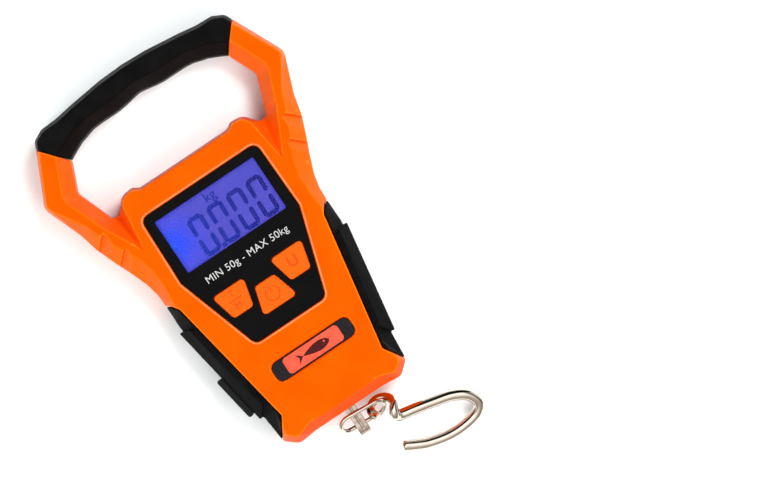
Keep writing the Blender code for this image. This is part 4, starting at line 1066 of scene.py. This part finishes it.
def build_hook_group():
    """The link's round wire, the hook's bar and the folded strap."""
    steel = MATERIAL["bright_steel"]
    path = link_path()
    link = tube_mesh("hook_link_wire", path, [LINK_WIRE / 2 - LINK_CLEARANCE] * len(path), closed=True)
    add_piece("hook_link_wire", link, steel, "link", ["hook_link"])
    bar = tube_mesh("hook_bar", *hook_path(), HOOK_SIDES)
    add_piece("hook_bar", bar, steel, "hook_body", ["hook"])
    soften_node("hook_strap", STRAP_STEEL, voxel_mm=0.14, passes=5)


# ---- measuring tape ------------------------------------------------------------------------------
def tape_section(x, foot):
    """The blade's cross-section at x along it: a thin strip, arched across its width."""
    under = []
    for step in range(TAPE_STRIPS + 1):
        y = -TAPE_HALF_WIDTH + 2 * TAPE_HALF_WIDTH * step / TAPE_STRIPS
        arch = TAPE_ARCH * (1 - (y / TAPE_HALF_WIDTH) ** 2)
        under.append((x, y, foot + TAPE_LIFT + arch))
    return under + [(x, y, z + TAPE_THICK) for x, y, z in reversed(under)]


def tape_mesh(axes, foot):
    """The blade from the reel out to the tab, in enough stations to stretch smoothly."""
    bm = bmesh.new()
    rings = []
    for index in range(TAPE_STATIONS):
        section = tape_section(-TAPE_LENGTH * index / (TAPE_STATIONS - 1), foot)
        rings.append([bm.verts.new(axes @ Vector(point)) for point in section])
    for lower, upper in zip(rings, rings[1:]):
        join_rings(bm, lower, upper)
    bm.faces.new(rings[0])
    bm.faces.new(rings[-1])
    return mesh_from("tape_strip", bm)


def build_tape():
    """The blade from the reel out to the tab, in place of the CAD's blade."""
    axes = Matrix.Translation(REEL_CENTRE) @ Matrix.Rotation(FLANK_TILT, 4, "Z")
    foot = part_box("tape_blade")[0].z / MM - REEL_CENTRE.z
    mesh = tape_mesh(axes, foot)
    strip = in_scene("tape_strip", mesh)
    mesh.materials.append(MATERIAL["tape_yellow"])
    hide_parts("tape_blade")
    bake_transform(strip)


# ---- stage ---------------------------------------------------------------------------------------
def build_floor():
    """A large flat sheet just under the scale."""
    bm = bmesh.new()
    bmesh.ops.create_grid(bm, x_segments=8, y_segments=8, size=FLOOR_HALF)
    mesh = bpy.data.meshes.new("floor")
    bm.to_mesh(mesh)
    bm.free()
    mesh.materials.append(pale_floor())
    floor = in_scene("floor", mesh)
    floor.location.z = CAD_BOX[0][2] - FLOOR_GAP


def grey(level):
    """A neutral colour."""
    return (level, level, level)


def build_world():
    """Bands of light and dark along Y, dimmed by bands along X, for the steel to mirror."""
    world = bpy.data.worlds.new("studio")
    bpy.context.scene.world = world
    world.use_nodes = True
    tree = world.node_tree
    axes = split_axes(tree, tree.nodes.new("ShaderNodeTexCoord").outputs["Generated"])
    along_y = colours(tree, spread(tree, axes["Y"], -1.0, 1.0, 0.0, 1.0),
                      (0.0, (0.34, 0.30, 0.26)), (0.13, (0.55, 0.50, 0.45)), (0.27, (1.15, 1.12, 1.07)),
                      (0.40, (1.65, 1.65, 1.62)), (0.64, grey(1.7)), (0.69, (0.01, 0.012, 0.014)),
                      (0.92, (0.012, 0.012, 0.014)), (1.0, (0.35, 0.34, 0.33)))
    along_x = colours(tree, spread(tree, axes["X"], -1.0, 1.0, 0.0, 1.0),
                      (0.0, grey(0.5)), (0.12, grey(0.25)), (0.25, grey(1.0)), (0.38, grey(1.15)),
                      (0.5, grey(0.95)), (0.72, grey(0.95)), (0.82, grey(0.12)), (0.9, grey(0.12)),
                      (1.0, grey(0.6)))
    product = tree.nodes.new("ShaderNodeVectorMath")
    product.operation = "MULTIPLY"
    tree.links.new(along_y, product.inputs[0])
    tree.links.new(along_x, product.inputs[1])
    tree.links.new(product.outputs[0], tree.nodes["Background"].inputs["Color"])
    tree.nodes["Background"].inputs["Strength"].default_value = 1.0


def add_area(name, location, size, watts):
    """A square lamp that faces the scale and that nothing mirrors."""
    data = bpy.data.lights.new(name, "AREA")
    data.size = size
    data.energy = watts
    lamp = in_scene(name, data)
    lamp.visible_glossy = False
    lamp.location = location
    lamp.rotation_euler = (Vector(LAMPS_AIM) - Vector(location)).to_track_quat("-Z", "Y").to_euler()


def build_lights():
    """A key lamp over the upper right, a fill at the lower left and a third from the hook's side."""
    add_area("key", (0.5, 0.2, 1.15), 0.4, 12.0)
    add_area("fill", (-0.7, -0.5, 0.8), 0.7, 6.0)
    add_area("top", (0.2, -0.65, 1.2), 0.6, 6.0)


def build_camera():
    """Straight down on the scale, which lies turned by about 34 degrees in the picture."""
    data = bpy.data.cameras.new("camera")
    data.type = "PERSP"
    data.sensor_width = SENSOR_WIDTH
    data.lens = SENSOR_WIDTH * CAMERA_DISTANCE / CAMERA_WIDTH
    camera = in_scene("camera", data)
    up = Vector((-CAMERA_RIGHT.y, CAMERA_RIGHT.x, 0.0))
    turn = Matrix((CAMERA_RIGHT, up, CAMERA_RIGHT.cross(up))).transposed().to_4x4()
    camera.matrix_world = Matrix.Translation(CAMERA_AIM + Vector((0, 0, CAMERA_DISTANCE))) @ turn
    bpy.context.scene.camera = camera


def main():
    """Builds every piece in turn, then the stage round them."""
    bpy.context.scene.view_settings.view_transform = "Standard"
    paint_cad_nodes()
    build_case()
    build_display()
    build_keys()
    build_name_plate()
    build_panel_lip()
    build_hook_group()
    build_tape()
    build_floor()
    build_world()
    build_lights()
    build_camera()


main()
